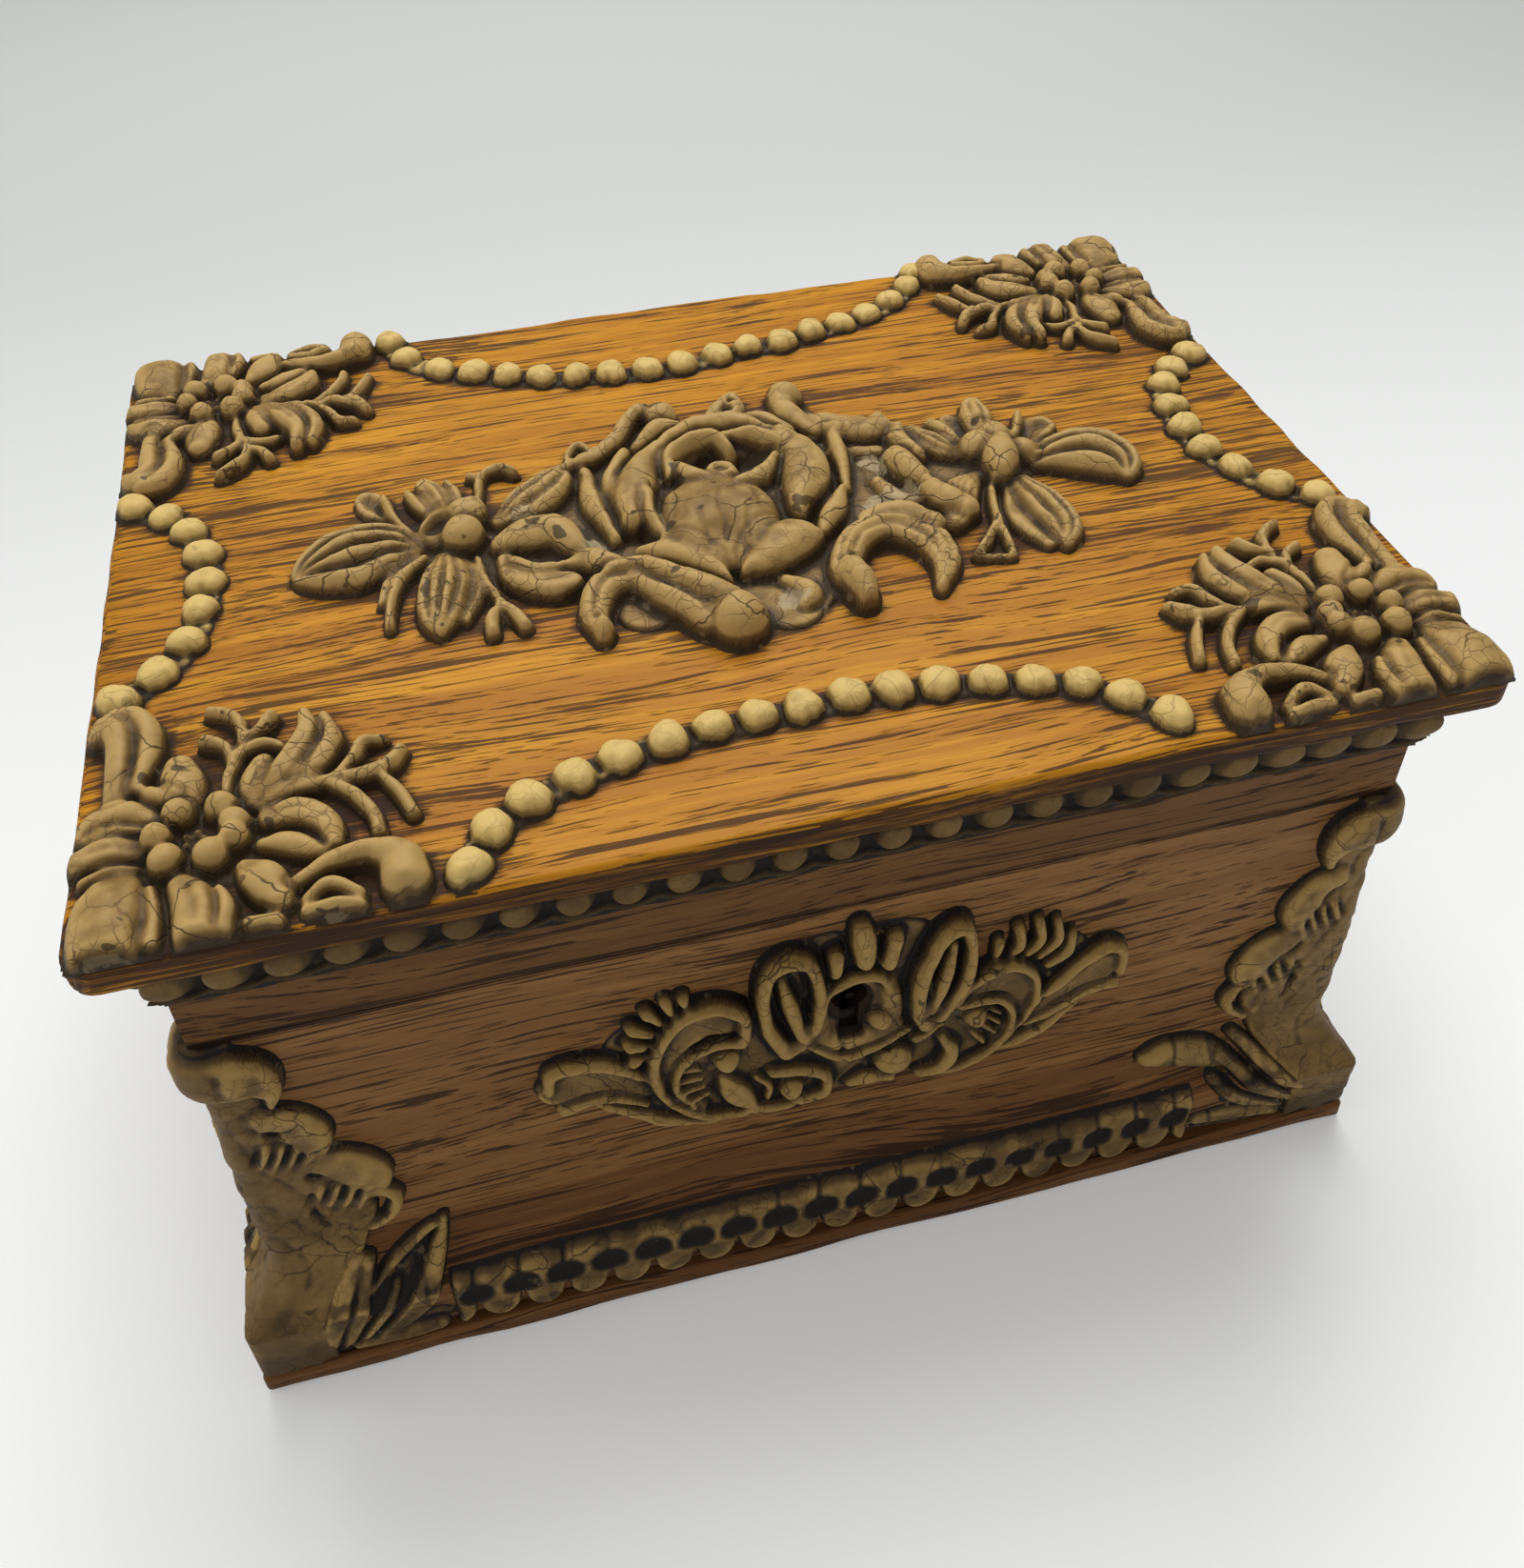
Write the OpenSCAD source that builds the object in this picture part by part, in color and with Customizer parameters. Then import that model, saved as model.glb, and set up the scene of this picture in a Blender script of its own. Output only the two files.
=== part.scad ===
// Oak keepsake box with moulded composition ornament: a case on a moulded plinth and a hinged, locking lid.
// Origin at the bottom centre, +Z up, front towards -Y, millimetres.

/* [Case] */
// Outside width of the case
case_w = 280; // [220:1:360]
// Outside depth of the case
case_d = 191; // [155:1:260]
// Height of the joint between the case and the lid
seam_z = 130; // [118:1:180]
// Thickness of the case walls and of the lid rim
wall_t = 11; // [9:0.5:16]
// Gap between the case and the closed lid
seam_gap = 0.4; // [0.3:0.1:1]

/* [Base] */
// Thickness of the base board
base_t = 7; // [5:0.5:12]
// How far the base board stands out past the walls
base_out = 12; // [10:0.5:18]
// Height of the top of the plinth's slope
plinth_top = 42; // [34:1:60]
// Height where the plinth's upright face turns into its slope
plinth_turn = 26; // [22:1:32]
// How far the plinth's upright face stands out past the walls
plinth_out = 10; // [7:0.5:14]
// Height of the shadow gap between the plinth and the base board
shadow_h = 3; // [1:0.5:5]
// Depth of the shadow gap
shadow_in = 2; // [1:0.5:4]

/* [Lid] */
// Height of the lid's rim, below its board
rim_h = 35.4; // [28:0.1:60]
// Thickness of the lid board
lid_t = 8.2; // [6:0.1:14]
// How far the lid board stands out past the rim
lid_out = 12; // [10:0.5:18]
// Radius of the lid board's corners seen from above
lid_corner_r = 6; // [2:0.5:12]
// How far the lid opens
lid_open = 100; // [80:1:110]

/* [Crown moulding] */
// Height of the composition moulding under the lid board
crown_h = 20; // [16:0.5:25]
// How far the crown moulding stands out at its top
crown_out = 8; // [6:0.5:10]
// Thickness of the crown moulding at its lower edge
crown_lip = 1.4; // [1:0.1:2]
// Radius of the lumps along the crown moulding
crown_lump_r = 4.4; // [3:0.1:5]
// Distance from one crown lump to the next
crown_pitch = 10.9; // [9.5:0.1:14]

/* [Base beading] */
// Thickness of the composition strip on the plinth
strip_t = 1.8; // [1.2:0.1:2]
// Height of the strip's upper edge, on the slope
strip_top = 31; // [28:0.5:33]
// Height of the bottoms of the strip's scallops
strip_low = 9; // [8:0.5:12]
// Distance from one scallop to the next
strip_pitch = 11.3; // [9.5:0.1:15]
// Radius of the hollow above each scallop
hollow_r = 4; // [2.5:0.1:4.5]
// Height of the centres of the hollows
hollow_z = 20.5; // [18:0.5:21]
// Distance from the case's corner to the first hollow
strip_end = 40; // [34:1:50]

/* [Composition ornament] */
// Thickness of the backing sheet that the ornaments are moulded on
sheet_t = 1.6; // [1:0.1:2.5]
// Height of an ordinary leaf above the lid
leaf_h = 5; // [3:0.5:8]
// Highest point of the centre rose above the lid
rose_h = 12; // [9:0.5:16]
// Radius of a bead in the strings on the lid
bead_r = 5; // [3.5:0.1:5.1]
// Height of a bead above the lid
bead_h = 5.2; // [4:0.1:7]
// Distance from one bead to the next along its string
bead_pitch = 10.4; // [10.3:0.1:14]
// Width of the thin strip under the beads
string_w = 5; // [3:0.5:8]
// How far the bead strings reach in from the lid's front edge
string_in_front = 30; // [22:1:36]
// How far the bead strings reach in from the lid's back edge
string_in_back = 40; // [22:1:42]
// How far the bead strings reach in from the lid's side edges
string_in_side = 26; // [22:1:30]
// Distance from the lid's corner to the first bead, along the long edges
string_start_long = 76; // [74:1:84]
// Distance from the lid's corner to the first bead, along the short edges
string_start_short = 71; // [70:1:74]
// Thickness of the corner leaves on the case
bracket_t = 3.8; // [2.5:0.1:5]
// Thickness of the rolled top of the corner leaves
bracket_curl_t = 5.4; // [4:0.1:7]
// Height of the top of the corner leaves below the seam
bracket_drop = 2; // [1:0.5:6]
// Height of the lower ends of the corner leaves
bracket_low = 13; // [10.5:0.5:18]
// How far the keyhole ornament stands out of the front
escutcheon_t = 5; // [3:0.5:8]

/* [Lock] */
// Distance of the keyhole from the middle of the front, to the right
key_x = 4; // [-10:1:10]
// Depth of the key's axis below the seam
key_drop = 34; // [30:1:38]
// Radius of the round part of the keyhole through the front
key_r = 4.6; // [3.5:0.1:5.5]
// Width of the keyhole's slot
key_slot_w = 5; // [3:0.5:6]
// Reach of the keyhole's slot below the key's axis
key_slot_h = 13; // [10:0.5:15]
// Width of the lock's case
lock_w = 52; // [46:1:60]
// Height of the lock's case
lock_h = 50; // [50:1:58]
// Depth of the lock's case
lock_d = 7; // [6:0.5:7.5]
// Thickness of the lock's plates
lock_plate_t = 1.2; // [0.8:0.1:1.5]
// Width of the cover plate's flange beside the lock's case
lock_flange = 4.5; // [4:0.5:7]
// Travel of the lock's bolt
bolt_travel = 5; // [4.5:0.1:5.5]
// Clearance around the bolt and around the link plate's staples
lock_gap = 0.3; // [0.2:0.05:0.4]
// Length of the link plate's staples below the lid's rim
staple_h = 11; // [10:0.5:12]

/* [Hinges] */
// Distance of each hinge from the middle of the back
hinge_x = 85; // [60:1:100]
// Length of a hinge
hinge_l = 38; // [30:1:45]
// Thickness of a hinge leaf
hinge_leaf_t = 1.2; // [0.8:0.1:1.6]
// Depth of a hinge leaf on the wood
hinge_leaf_d = 9; // [7:0.5:9]
// Radius of the hinge's barrel
barrel_r = 2.6; // [2.2:0.1:3.2]
// Radius of the hinge pin
pin_r = 1; // [0.8:0.05:1.4]
// Running clearance of the lid's knuckles on the pin
pin_gap = 0.04; // [0.02:0.01:0.08]
// Gap beside each knuckle and between the barrel and the wood
knuckle_gap = 0.3; // [0.2:0.05:0.5]

/* [Screws] */
// Radius of a small brass screw's shank
small_screw_r = 1.1; // [0.8:0.1:1.3]
// Radius of a small screw's head
small_head_r = 2.2; // [1.8:0.1:2.5]
// Length of a hinge screw
hinge_screw_l = 10; // [8:0.5:14]
// Length of a lock screw, short enough to stay inside the front wall
lock_screw_l = 6; // [5:0.5:7]
// Radius of a base screw's shank
base_screw_r = 1.6; // [1.2:0.1:2]
// Radius of a base screw's head
base_head_r = 3.2; // [2.6:0.1:3.8]
// Length of a base screw
base_screw_l = 18; // [14:1:24]
// Depth of the base screws' heads below the underside
base_screw_sink = 0.4; // [0.2:0.1:1]
// Distance of the end base screws from the ends of the front and back walls
base_screw_in = 40; // [30:1:60]

/* [Hidden] */
$fn = 48;

FRONT = 0; RIGHT = 1; BACK = 2; LEFT = 3;
over = 1;                                  // cutters reach this far past what they cut
oak = "#8f6638";
oak_lid = "#c07f35";
compo = "#a58b5c";
brass = "#b08d45";
steel = "#777777";

rim_z = seam_z + seam_gap;                 // underside of the lid's rim
board_z = rim_z + rim_h;                   // underside of the lid board
top_z = board_z + lid_t;                   // top of the lid board
lid_w = case_w + 2 * lid_out;
lid_d = case_d + 2 * lid_out;
key_z = seam_z - key_drop;
inner_w = case_w - 2 * wall_t;
inner_d = case_d - 2 * wall_t;

// Length of one side of the case, and its distance from the middle of the box.
function side_len(k) = k % 2 == 0 ? case_w : case_d;
function side_off(k) = (k % 2 == 0 ? case_d : case_w) / 2;

// Turns a piece drawn on the front, with the wall's face on y = -side_off(k), round to side k.
module on_side(k) { rotate([0, 0, 90 * k]) children(); }

// A flat outline in x and z, given a depth from y = y0 towards -y.
module front_plate(y0, depth) { translate([0, y0, 0]) rotate([90, 0, 0]) linear_extrude(depth) children(); }

// A section drawn as [distance out of the wall, height], carried along side k and mitred at both ends.
module mitred_run(k, reach) {
  length = side_len(k);
  face = side_off(k);
  intersection() {
    translate([-length / 2 - reach, -face, 0]) rotate([90, 0, 90]) mirror([1, 0, 0])
      linear_extrude(length + 2 * reach) children();
    linear_extrude(top_z) polygon([[-length / 2, -face], [length / 2, -face],
      [length / 2 + reach, -face - reach], [-length / 2 - reach, -face - reach]]);
  }
}

// A countersunk wood screw, its head's top on z = 0 and its shank along -z.
module screw(shank_r, head_r, length) {
  cone = head_r - shank_r;
  rotate_extrude() polygon([
    [0, 0], [head_r, 0], [shank_r, -cone], [shank_r, -length + shank_r], [0, -length]
  ]);
}

// The slot across a screw's head.
module screw_slot(head_r) { translate([-head_r, -0.25, -0.5]) cube([2 * head_r, 0.5, 0.5 + over]); }

// A pointed leaf from the origin along +x. Its half width follows a sine that swells nearer the root.
leaf_steps = 8;
function leaf_side(i, length, width) =
  [length * i / leaf_steps, width / 2 * sin(180 * pow(i / leaf_steps, 0.8))];
module leaf_outline(length, width) {
  upper = [for (i = [0 : leaf_steps]) leaf_side(i, length, width)];
  lower = [for (i = [leaf_steps - 1 : -1 : 1]) leaf_side(i, length, -width)];
  polygon(concat(upper, lower));
}
module leaf(at, angle, length, width) { translate(at) rotate(angle) leaf_outline(length, width); }

// A round-topped lump: a quarter circle turned about its own axis, on a short foot.
module dome(at, r, h) {
  foot = max(h - r, 0);
  translate([at[0], at[1], 0]) rotate_extrude() union() {
    if (foot > 0) square([r, foot]);
    translate([0, foot - max(r - h, 0)]) intersection() {
      circle(r);
      translate([0, max(r - h, 0)]) square([r, r]);
    }
  }
}

// The outline of a scroll: a whole ring.
module ring(at, r, thick) {
  translate(at) difference() {
    circle(r + thick / 2);
    circle(r - thick / 2);
  }
}

// Where the base screws stand: along the front and back walls, and one in each side wall.
base_screw_y = case_d / 2 - wall_t / 2;
base_screw_at = concat(
  [for (sx = [-1, 0, 1], sy = [-1, 1]) [sx * (case_w / 2 - base_screw_in), sy * base_screw_y]],
  [for (sx = [-1, 1]) [sx * (case_w / 2 - wall_t / 2), 0]]);
module at_base_screws() {
  for (p = base_screw_at) translate([p[0], p[1], base_screw_sink]) mirror([0, 0, 1]) children();
}
module base_screws() {
  color(steel) at_base_screws() difference() {
    screw(base_screw_r, base_head_r, base_screw_l);
    screw_slot(base_head_r);
  }
}
module base_screw_holes() {
  at_base_screws() screw(base_screw_r, base_head_r, base_screw_l);
  for (p = base_screw_at) translate([p[0], p[1], -over]) cylinder(r = base_head_r, h = base_screw_sink + over);
}

module base_board() {
  w = case_w + 2 * base_out;
  d = case_d + 2 * base_out;
  color(oak) difference() {
    translate([-w / 2, -d / 2, 0]) cube([w, d, base_t]);
    base_screw_holes();
  }
}

// The keyhole's outline in x and z, about the key's axis.
module keyhole_outline(r, slot_w, slot_h) {
  circle(r);
  translate([-slot_w / 2, -slot_h]) square([slot_w, slot_h]);
}

// The lock stands in a pocket cut into the front wall from inside. Its cover lies flush with
// the wall's inner face.
lock_y = -case_d / 2 + wall_t;             // inner face of the front wall
lock_top = seam_z;
lock_in = lock_y - lock_plate_t - lock_d;  // face of the lock towards the front
flange_w = lock_w + 2 * lock_flange;
module lock_pocket() {
  translate([key_x - lock_w / 2, lock_in, lock_top - lock_h])
    cube([lock_w, lock_d + lock_plate_t + over, lock_h + over]);
  translate([key_x - flange_w / 2, lock_y - lock_plate_t, lock_top - lock_h - lock_flange])
    cube([flange_w, lock_plate_t + over, lock_h + lock_flange + over]);
}
lock_screw_x = (lock_w + lock_flange) / 2;
module at_lock_screws() {
  for (sx = [-1, 1], z = [lock_top - 8, lock_top - lock_h + 6])
    translate([key_x + sx * lock_screw_x, lock_y, z]) rotate([-90, 0, 0]) children();
}
lock_head_r = min(small_head_r, lock_flange / 2 - 0.3);
lock_shank_r = min(small_screw_r, lock_head_r - 0.6);
module lock_screws() {
  color(brass) at_lock_screws() difference() {
    screw(lock_shank_r, lock_head_r, lock_screw_l);
    screw_slot(lock_head_r);
  }
}
module lock_screw_holes() { at_lock_screws() screw(lock_shank_r, lock_head_r, lock_screw_l); }

module wall_long(k) {
  on_side(k) translate([-case_w / 2, -case_d / 2, base_t]) cube([case_w, wall_t, seam_z - base_t]);
}
module wall_short(k) {
  on_side(k) translate([-inner_d / 2, -case_w / 2, base_t]) cube([inner_d, wall_t, seam_z - base_t]);
}
module front_wall() {
  color(oak) difference() {
    wall_long(FRONT);
    lock_pocket();
    lock_screw_holes();
    base_screw_holes();
    translate([key_x, 0, key_z]) front_plate(-case_d / 2 + wall_t, wall_t + over)
      keyhole_outline(key_r, key_slot_w, key_slot_h);
  }
}
module back_wall() {
  color(oak) difference() {
    wall_long(BACK);
    for (s = [-1, 1]) hinge_seat(s, seam_z - hinge_leaf_t);
    hinge_case_screw_holes();
    base_screw_holes();
  }
}
module left_wall() { color(oak) difference() { wall_short(LEFT); base_screw_holes(); } }
module right_wall() { color(oak) difference() { wall_short(RIGHT); base_screw_holes(); } }

// The plinth's section: a stepped foot over the shadow gap, an upright face and a slope up to the wall.
module plinth_section() {
  polygon([[0, base_t], [plinth_out - shadow_in, base_t], [plinth_out - shadow_in, base_t + shadow_h],
    [plinth_out, base_t + shadow_h], [plinth_out, plinth_turn], [0, plinth_top]]);
}
module plinth(k) { color(oak) on_side(k) mitred_run(k, base_out) plinth_section(); }
module plinth_front() { plinth(FRONT); }
module plinth_right() { plinth(RIGHT); }
module plinth_back() { plinth(BACK); }
module plinth_left() { plinth(LEFT); }

// The base beading is a strip that wraps the plinth's face and the foot of its slope, with scallops along its lower
// edge and a hollow over each. Three leaves finish each end.
slope = plinth_out / (plinth_top - plinth_turn);
strip_foot = strip_low + strip_pitch * 0.42;
module strip_section(low) {
  polygon([[plinth_out, low], [plinth_out + strip_t, low], [plinth_out + strip_t, plinth_turn + strip_t / 2],
    [plinth_out - (strip_top - plinth_turn) * slope + strip_t, strip_top],
    [plinth_out - (strip_top - plinth_turn) * slope, strip_top], [plinth_out, plinth_turn]]);
}
module base_beading(k) {
  face = side_off(k);
  run = side_len(k) - 2 * strip_end;
  count = floor(run / strip_pitch);
  half = count * strip_pitch / 2;
  color(compo) on_side(k) intersection() {
    union() {
      difference() {
        translate([-half - strip_pitch / 2, -face, 0]) rotate([90, 0, 90]) mirror([1, 0, 0])
          linear_extrude(2 * half + strip_pitch) strip_section(strip_foot);
        for (i = [0 : count]) translate([-half + i * strip_pitch, -face - plinth_out - strip_t / 2, hollow_z])
          rotate([90, 0, 0]) cylinder(r = hollow_r, h = strip_t + over);
      }
      for (i = [0 : count]) translate([-half + i * strip_pitch, -face - plinth_out, strip_foot])
        rotate([90, 0, 0]) cylinder(r = strip_foot - strip_low, h = strip_t);
      for (s = [-1, 1], a = [8, 30, 55]) translate([s * (half + strip_pitch * 2.2), 0, strip_foot - 3.5])
        front_plate(-face - plinth_out, strip_t) rotate(90 + s * (90 - a)) leaf_outline(strip_pitch * 2.1, 6);
    }
    translate([-side_len(k) / 2, -face - base_out, base_t + 0.5])
      cube([side_len(k), base_out, plinth_top - base_t]);
  }
}
module base_beading_front() { base_beading(FRONT); }
module base_beading_right() { base_beading(RIGHT); }
module base_beading_back() { base_beading(BACK); }
module base_beading_left() { base_beading(LEFT); }

// A corner leaf wraps both faces of a corner. Its outline is drawn on the front face from the corner inwards, and its
// section follows the wall and then the plinth.
bracket_top = seam_z - bracket_drop;
module bracket_outline() {
  polygon([[-base_out, bracket_top], [0, bracket_top], [12, bracket_top - 4], [10, bracket_top - 20],
    [14, bracket_top - 40], [22, bracket_top - 62], [31, bracket_top - 74], [18, bracket_top - 88],
    [10, plinth_turn], [7, bracket_low], [-base_out, bracket_low]]);
  translate([7.5, bracket_top - 8]) circle(6.5);
  translate([12, bracket_top - 39]) circle(8);
  translate([19, bracket_top - 63]) circle(9);
}
module bracket_section() {
  skin = min(plinth_out + strip_t, base_out);
  difference() {
    polygon([[0, bracket_low], [skin, bracket_low], [skin, plinth_turn + 1], [bracket_t + 2.6, plinth_top - 2],
      [bracket_t, plinth_top + 6], [bracket_t, bracket_top - 18], [bracket_curl_t, bracket_top - 9],
      [bracket_curl_t, bracket_top - 3], [bracket_curl_t - 2, bracket_top], [0, bracket_top]]);
    plinth_section();
  }
}
module bracket_half(along, across) {
  intersection() {
    translate([-along / 2, 0, 0]) front_plate(-across / 2, base_out) bracket_outline();
    translate([-along / 2 - base_out, -across / 2, 0]) rotate([90, 0, 90]) mirror([1, 0, 0])
      linear_extrude(4 * base_out) bracket_section();
    linear_extrude(seam_z) polygon([[-along / 2, -across / 2], [0, -across / 2],
      [0, -across / 2 - base_out], [-along / 2 - base_out, -across / 2 - base_out]]);
  }
}
module corner_leaf() {
  color(compo) union() {
    bracket_half(case_w, case_d);
    mirror([1, 0, 0]) rotate([0, 0, 90]) bracket_half(case_d, case_w);
  }
}
module corner_leaf_front_left() { corner_leaf(); }
module corner_leaf_front_right() { mirror([1, 0, 0]) corner_leaf(); }
module corner_leaf_back_left() { mirror([0, 1, 0]) corner_leaf(); }
module corner_leaf_back_right() { mirror([1, 0, 0]) mirror([0, 1, 0]) corner_leaf(); }

// The keyhole ornament: a shield round the keyhole, upright leaves, scrolls, shells and long tail leaves on a thin
// sheet. It is drawn flat about the key's axis and stood up against the front wall.
module escutcheon_half() {
  leaf([9, -20], 80, 45, 17);
  leaf([8, 8], 66, 17, 7);
  ring([36, -8], 11, 6);
  for (a = [30 : 24 : 102]) leaf([40, 3], a, 17, 6);
  leaf([26, -33], 34, 58, 15);
  leaf([16, -34], 12, 46, 7);
  ring([13, -29], 6, 4);
}
module escutcheon_sheet() {
  translate([-62, -21]) leaf_outline(124, 28);
  translate([-24, -35]) square([48, 30]);
  translate([-20, -20]) square([40, 34]);
}
module keyhole_ornament() {
  color(compo) difference() {
    translate([key_x, -case_d / 2, key_z]) rotate([90, 0, 0]) union() {
      linear_extrude(sheet_t) escutcheon_sheet();
      linear_extrude(escutcheon_t) union() {
        escutcheon_half();
        mirror([1, 0, 0]) escutcheon_half();
        leaf([0, 12], 90, 17, 7);
        circle(8.5);
        translate([-8.5, -17]) square([17, 17]);
      }
    }
    translate([key_x, 0, key_z]) front_plate(-case_d / 2 + over, escutcheon_t + 2 * over)
      keyhole_outline(key_r, key_slot_w, key_slot_h);
  }
}

// The lock: a tray with a selvedge along the seam, a bolt that slides sideways behind the keyhole, and a cover with
// the pin that a hollow key turns on. Slots in the selvedge let the link plate's staples in.
staple_x = 13;                             // distance of each staple from the key's axis
staple_t = 1.6;                            // thickness of a staple along the bolt
staple_w = lock_d - 2 * lock_plate_t - 2 * lock_gap;
lock_mid_y = lock_in + lock_d / 2;
eye_low = rim_z - staple_h + 1.6;          // underside of the staples' eyes
eye_high = eye_low + 4.6;
finger_low = eye_low + lock_gap;
finger_high = eye_high - lock_gap;
finger_w = staple_w - 2 * 1.1 - 2 * lock_gap;
finger_root = staple_t / 2 + bolt_travel + lock_gap;
bolt_top = rim_z - staple_h - lock_gap;    // top of the bolt's bar, below the staples
bolt_h = 7;
module staple_slots() {
  for (s = [-1, 1]) translate([key_x + s * staple_x - staple_t / 2 - lock_gap, lock_mid_y - staple_w / 2 - lock_gap,
    lock_top - lock_plate_t - over]) cube([staple_t + 2 * lock_gap, staple_w + 2 * lock_gap, lock_plate_t + 2 * over]);
}
module lock_case() {
  color(steel) difference() {
    translate([key_x - lock_w / 2, lock_in, lock_top - lock_h]) cube([lock_w, lock_d, lock_h]);
    translate([key_x - lock_w / 2 + lock_plate_t, lock_in + lock_plate_t, lock_top - lock_h + lock_plate_t])
      cube([lock_w - 2 * lock_plate_t, lock_d, lock_h - 2 * lock_plate_t]);
    staple_slots();
    translate([key_x, 0, key_z]) front_plate(lock_in + lock_plate_t + over, lock_plate_t + 2 * over)
      keyhole_outline(key_r - 1.4, key_slot_w - 2.4, key_slot_h - 4);
  }
}
module lock_cover() {
  pin_l = lock_d + wall_t / 4;
  color(steel) difference() {
    union() {
      translate([key_x - flange_w / 2, lock_y - lock_plate_t, lock_top - lock_h - lock_flange])
        cube([flange_w, lock_plate_t, lock_h + lock_flange]);
      translate([key_x, lock_y - lock_plate_t, key_z]) rotate([90, 0, 0]) cylinder(r = 1.2, h = pin_l);
    }
    lock_screw_holes();
  }
}
module lock_bolt() {
  left = key_x - staple_x - finger_root - 3;
  right = key_x + staple_x + 2;
  color(brass) union() {
    translate([left, lock_mid_y - staple_w / 2, bolt_top - bolt_h]) cube([right - left, staple_w, bolt_h]);
    for (s = [-1, 1]) translate([key_x + s * staple_x, lock_mid_y - finger_w / 2, 0]) {
      translate([-finger_root - 3, 0, bolt_top - over]) cube([3, finger_w, finger_high - bolt_top + over]);
      translate([-finger_root - 3, 0, finger_low])
        cube([finger_root + 3 - staple_t / 2 - lock_gap, finger_w, finger_high - finger_low]);
    }
  }
}

// The hinges: flat leaves let into the seam, five knuckles on a pin behind the back wall.
hinge_y = case_d / 2 + barrel_r + knuckle_gap;
knuckle_l = hinge_l / 5;
module hinge_seat(s, z) {
  translate([s * hinge_x - hinge_l / 2, case_d / 2 - hinge_leaf_d, z]) cube([hinge_l, hinge_leaf_d + over, hinge_leaf_t + over]);
}
module barrel(s, i, bore) {
  translate([s * hinge_x - hinge_l / 2 + i * knuckle_l + knuckle_gap / 2, hinge_y, seam_z])
    rotate([0, 90, 0]) cylinder(r = bore, h = knuckle_l - knuckle_gap);
}
module hinge_leaf(s, low, first) {
  difference() {
    union() {
      translate([s * hinge_x - hinge_l / 2, case_d / 2 - hinge_leaf_d, low]) cube([hinge_l, hinge_leaf_d, hinge_leaf_t]);
      for (i = [first : 2 : 4]) {
        translate([s * hinge_x - hinge_l / 2 + i * knuckle_l + knuckle_gap / 2, case_d / 2 - over, low])
          cube([knuckle_l - knuckle_gap, hinge_y - case_d / 2 + over, hinge_leaf_t]);
        barrel(s, i, barrel_r);
      }
    }
    translate([s * hinge_x - hinge_l / 2 - over, hinge_y, seam_z]) rotate([0, 90, 0])
      cylinder(r = pin_r + pin_gap, h = hinge_l + 2 * over);
  }
}
module hinge_case_leaf(s) {
  color(brass) difference() {
    hinge_leaf(s, seam_z - hinge_leaf_t, 0);
    hinge_case_screw_holes();
  }
}
module hinge_case_leaf_left() { hinge_case_leaf(-1); }
module hinge_case_leaf_right() { hinge_case_leaf(1); }
module hinge_lid_leaf(s) {
  color(brass) difference() {
    hinge_leaf(s, rim_z, 1);
    hinge_lid_screw_holes();
  }
}
module hinge_lid_leaf_left() { hinge_lid_leaf(-1); }
module hinge_lid_leaf_right() { hinge_lid_leaf(1); }
module hinge_pin(s) {
  color(brass) translate([s * hinge_x - hinge_l / 2, hinge_y, seam_z]) rotate([0, 90, 0]) cylinder(r = pin_r, h = hinge_l);
}
module hinge_pin_left() { hinge_pin(-1); }
module hinge_pin_right() { hinge_pin(1); }
hinge_screw_y = case_d / 2 - hinge_leaf_d / 2;
hinge_screw_dx = hinge_l / 3;
module at_hinge_screws() {
  for (s = [-1, 1], t = [-1, 1]) translate([s * hinge_x + t * hinge_screw_dx, hinge_screw_y, 0]) children();
}
module hinge_case_screw_holes() { at_hinge_screws() translate([0, 0, seam_z]) screw(small_screw_r, small_head_r, hinge_screw_l); }
module hinge_lid_screw_holes() {
  at_hinge_screws() translate([0, 0, rim_z]) mirror([0, 0, 1]) screw(small_screw_r, small_head_r, hinge_screw_l);
}
module hinge_case_screws() {
  color(brass) at_hinge_screws() translate([0, 0, seam_z]) difference() {
    screw(small_screw_r, small_head_r, hinge_screw_l);
    screw_slot(small_head_r);
  }
}
module hinge_lid_screws() {
  color(brass) at_hinge_screws() translate([0, 0, rim_z]) mirror([0, 0, 1]) difference() {
    screw(small_screw_r, small_head_r, hinge_screw_l);
    screw_slot(small_head_r);
  }
}

// The link plate lies in the rim's lower edge over the lock. Two flat staples hang from it, each with a square eye
// for the bolt.
link_w = lock_w - 4;
link_t = 1.6;
link_d = min(lock_d, wall_t - 3);
link_screw_dx = link_w / 2 - 4;
module link_box(extra) {
  translate([key_x - link_w / 2, lock_mid_y - link_d / 2, rim_z - extra]) cube([link_w, link_d, link_t + extra]);
}
module at_link_screws() {
  for (s = [-1, 1]) translate([key_x + s * link_screw_dx, lock_mid_y, rim_z]) mirror([0, 0, 1]) children();
}
module link_screw_holes() { at_link_screws() screw(small_screw_r, small_head_r, hinge_screw_l); }
module link_plate() {
  color(brass) difference() {
    union() {
      link_box(0);
      for (s = [-1, 1]) translate([key_x + s * staple_x - staple_t / 2, lock_mid_y - staple_w / 2, rim_z - staple_h])
        cube([staple_t, staple_w, staple_h + link_t]);
    }
    for (s = [-1, 1]) translate([key_x + s * staple_x - staple_t, lock_mid_y - finger_w / 2 - lock_gap, eye_low])
      cube([2 * staple_t, finger_w + 2 * lock_gap, eye_high - eye_low]);
    link_screw_holes();
  }
}
module link_plate_screws() {
  color(brass) at_link_screws() difference() {
    screw(small_screw_r, small_head_r, hinge_screw_l);
    screw_slot(small_head_r);
  }
}

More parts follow.
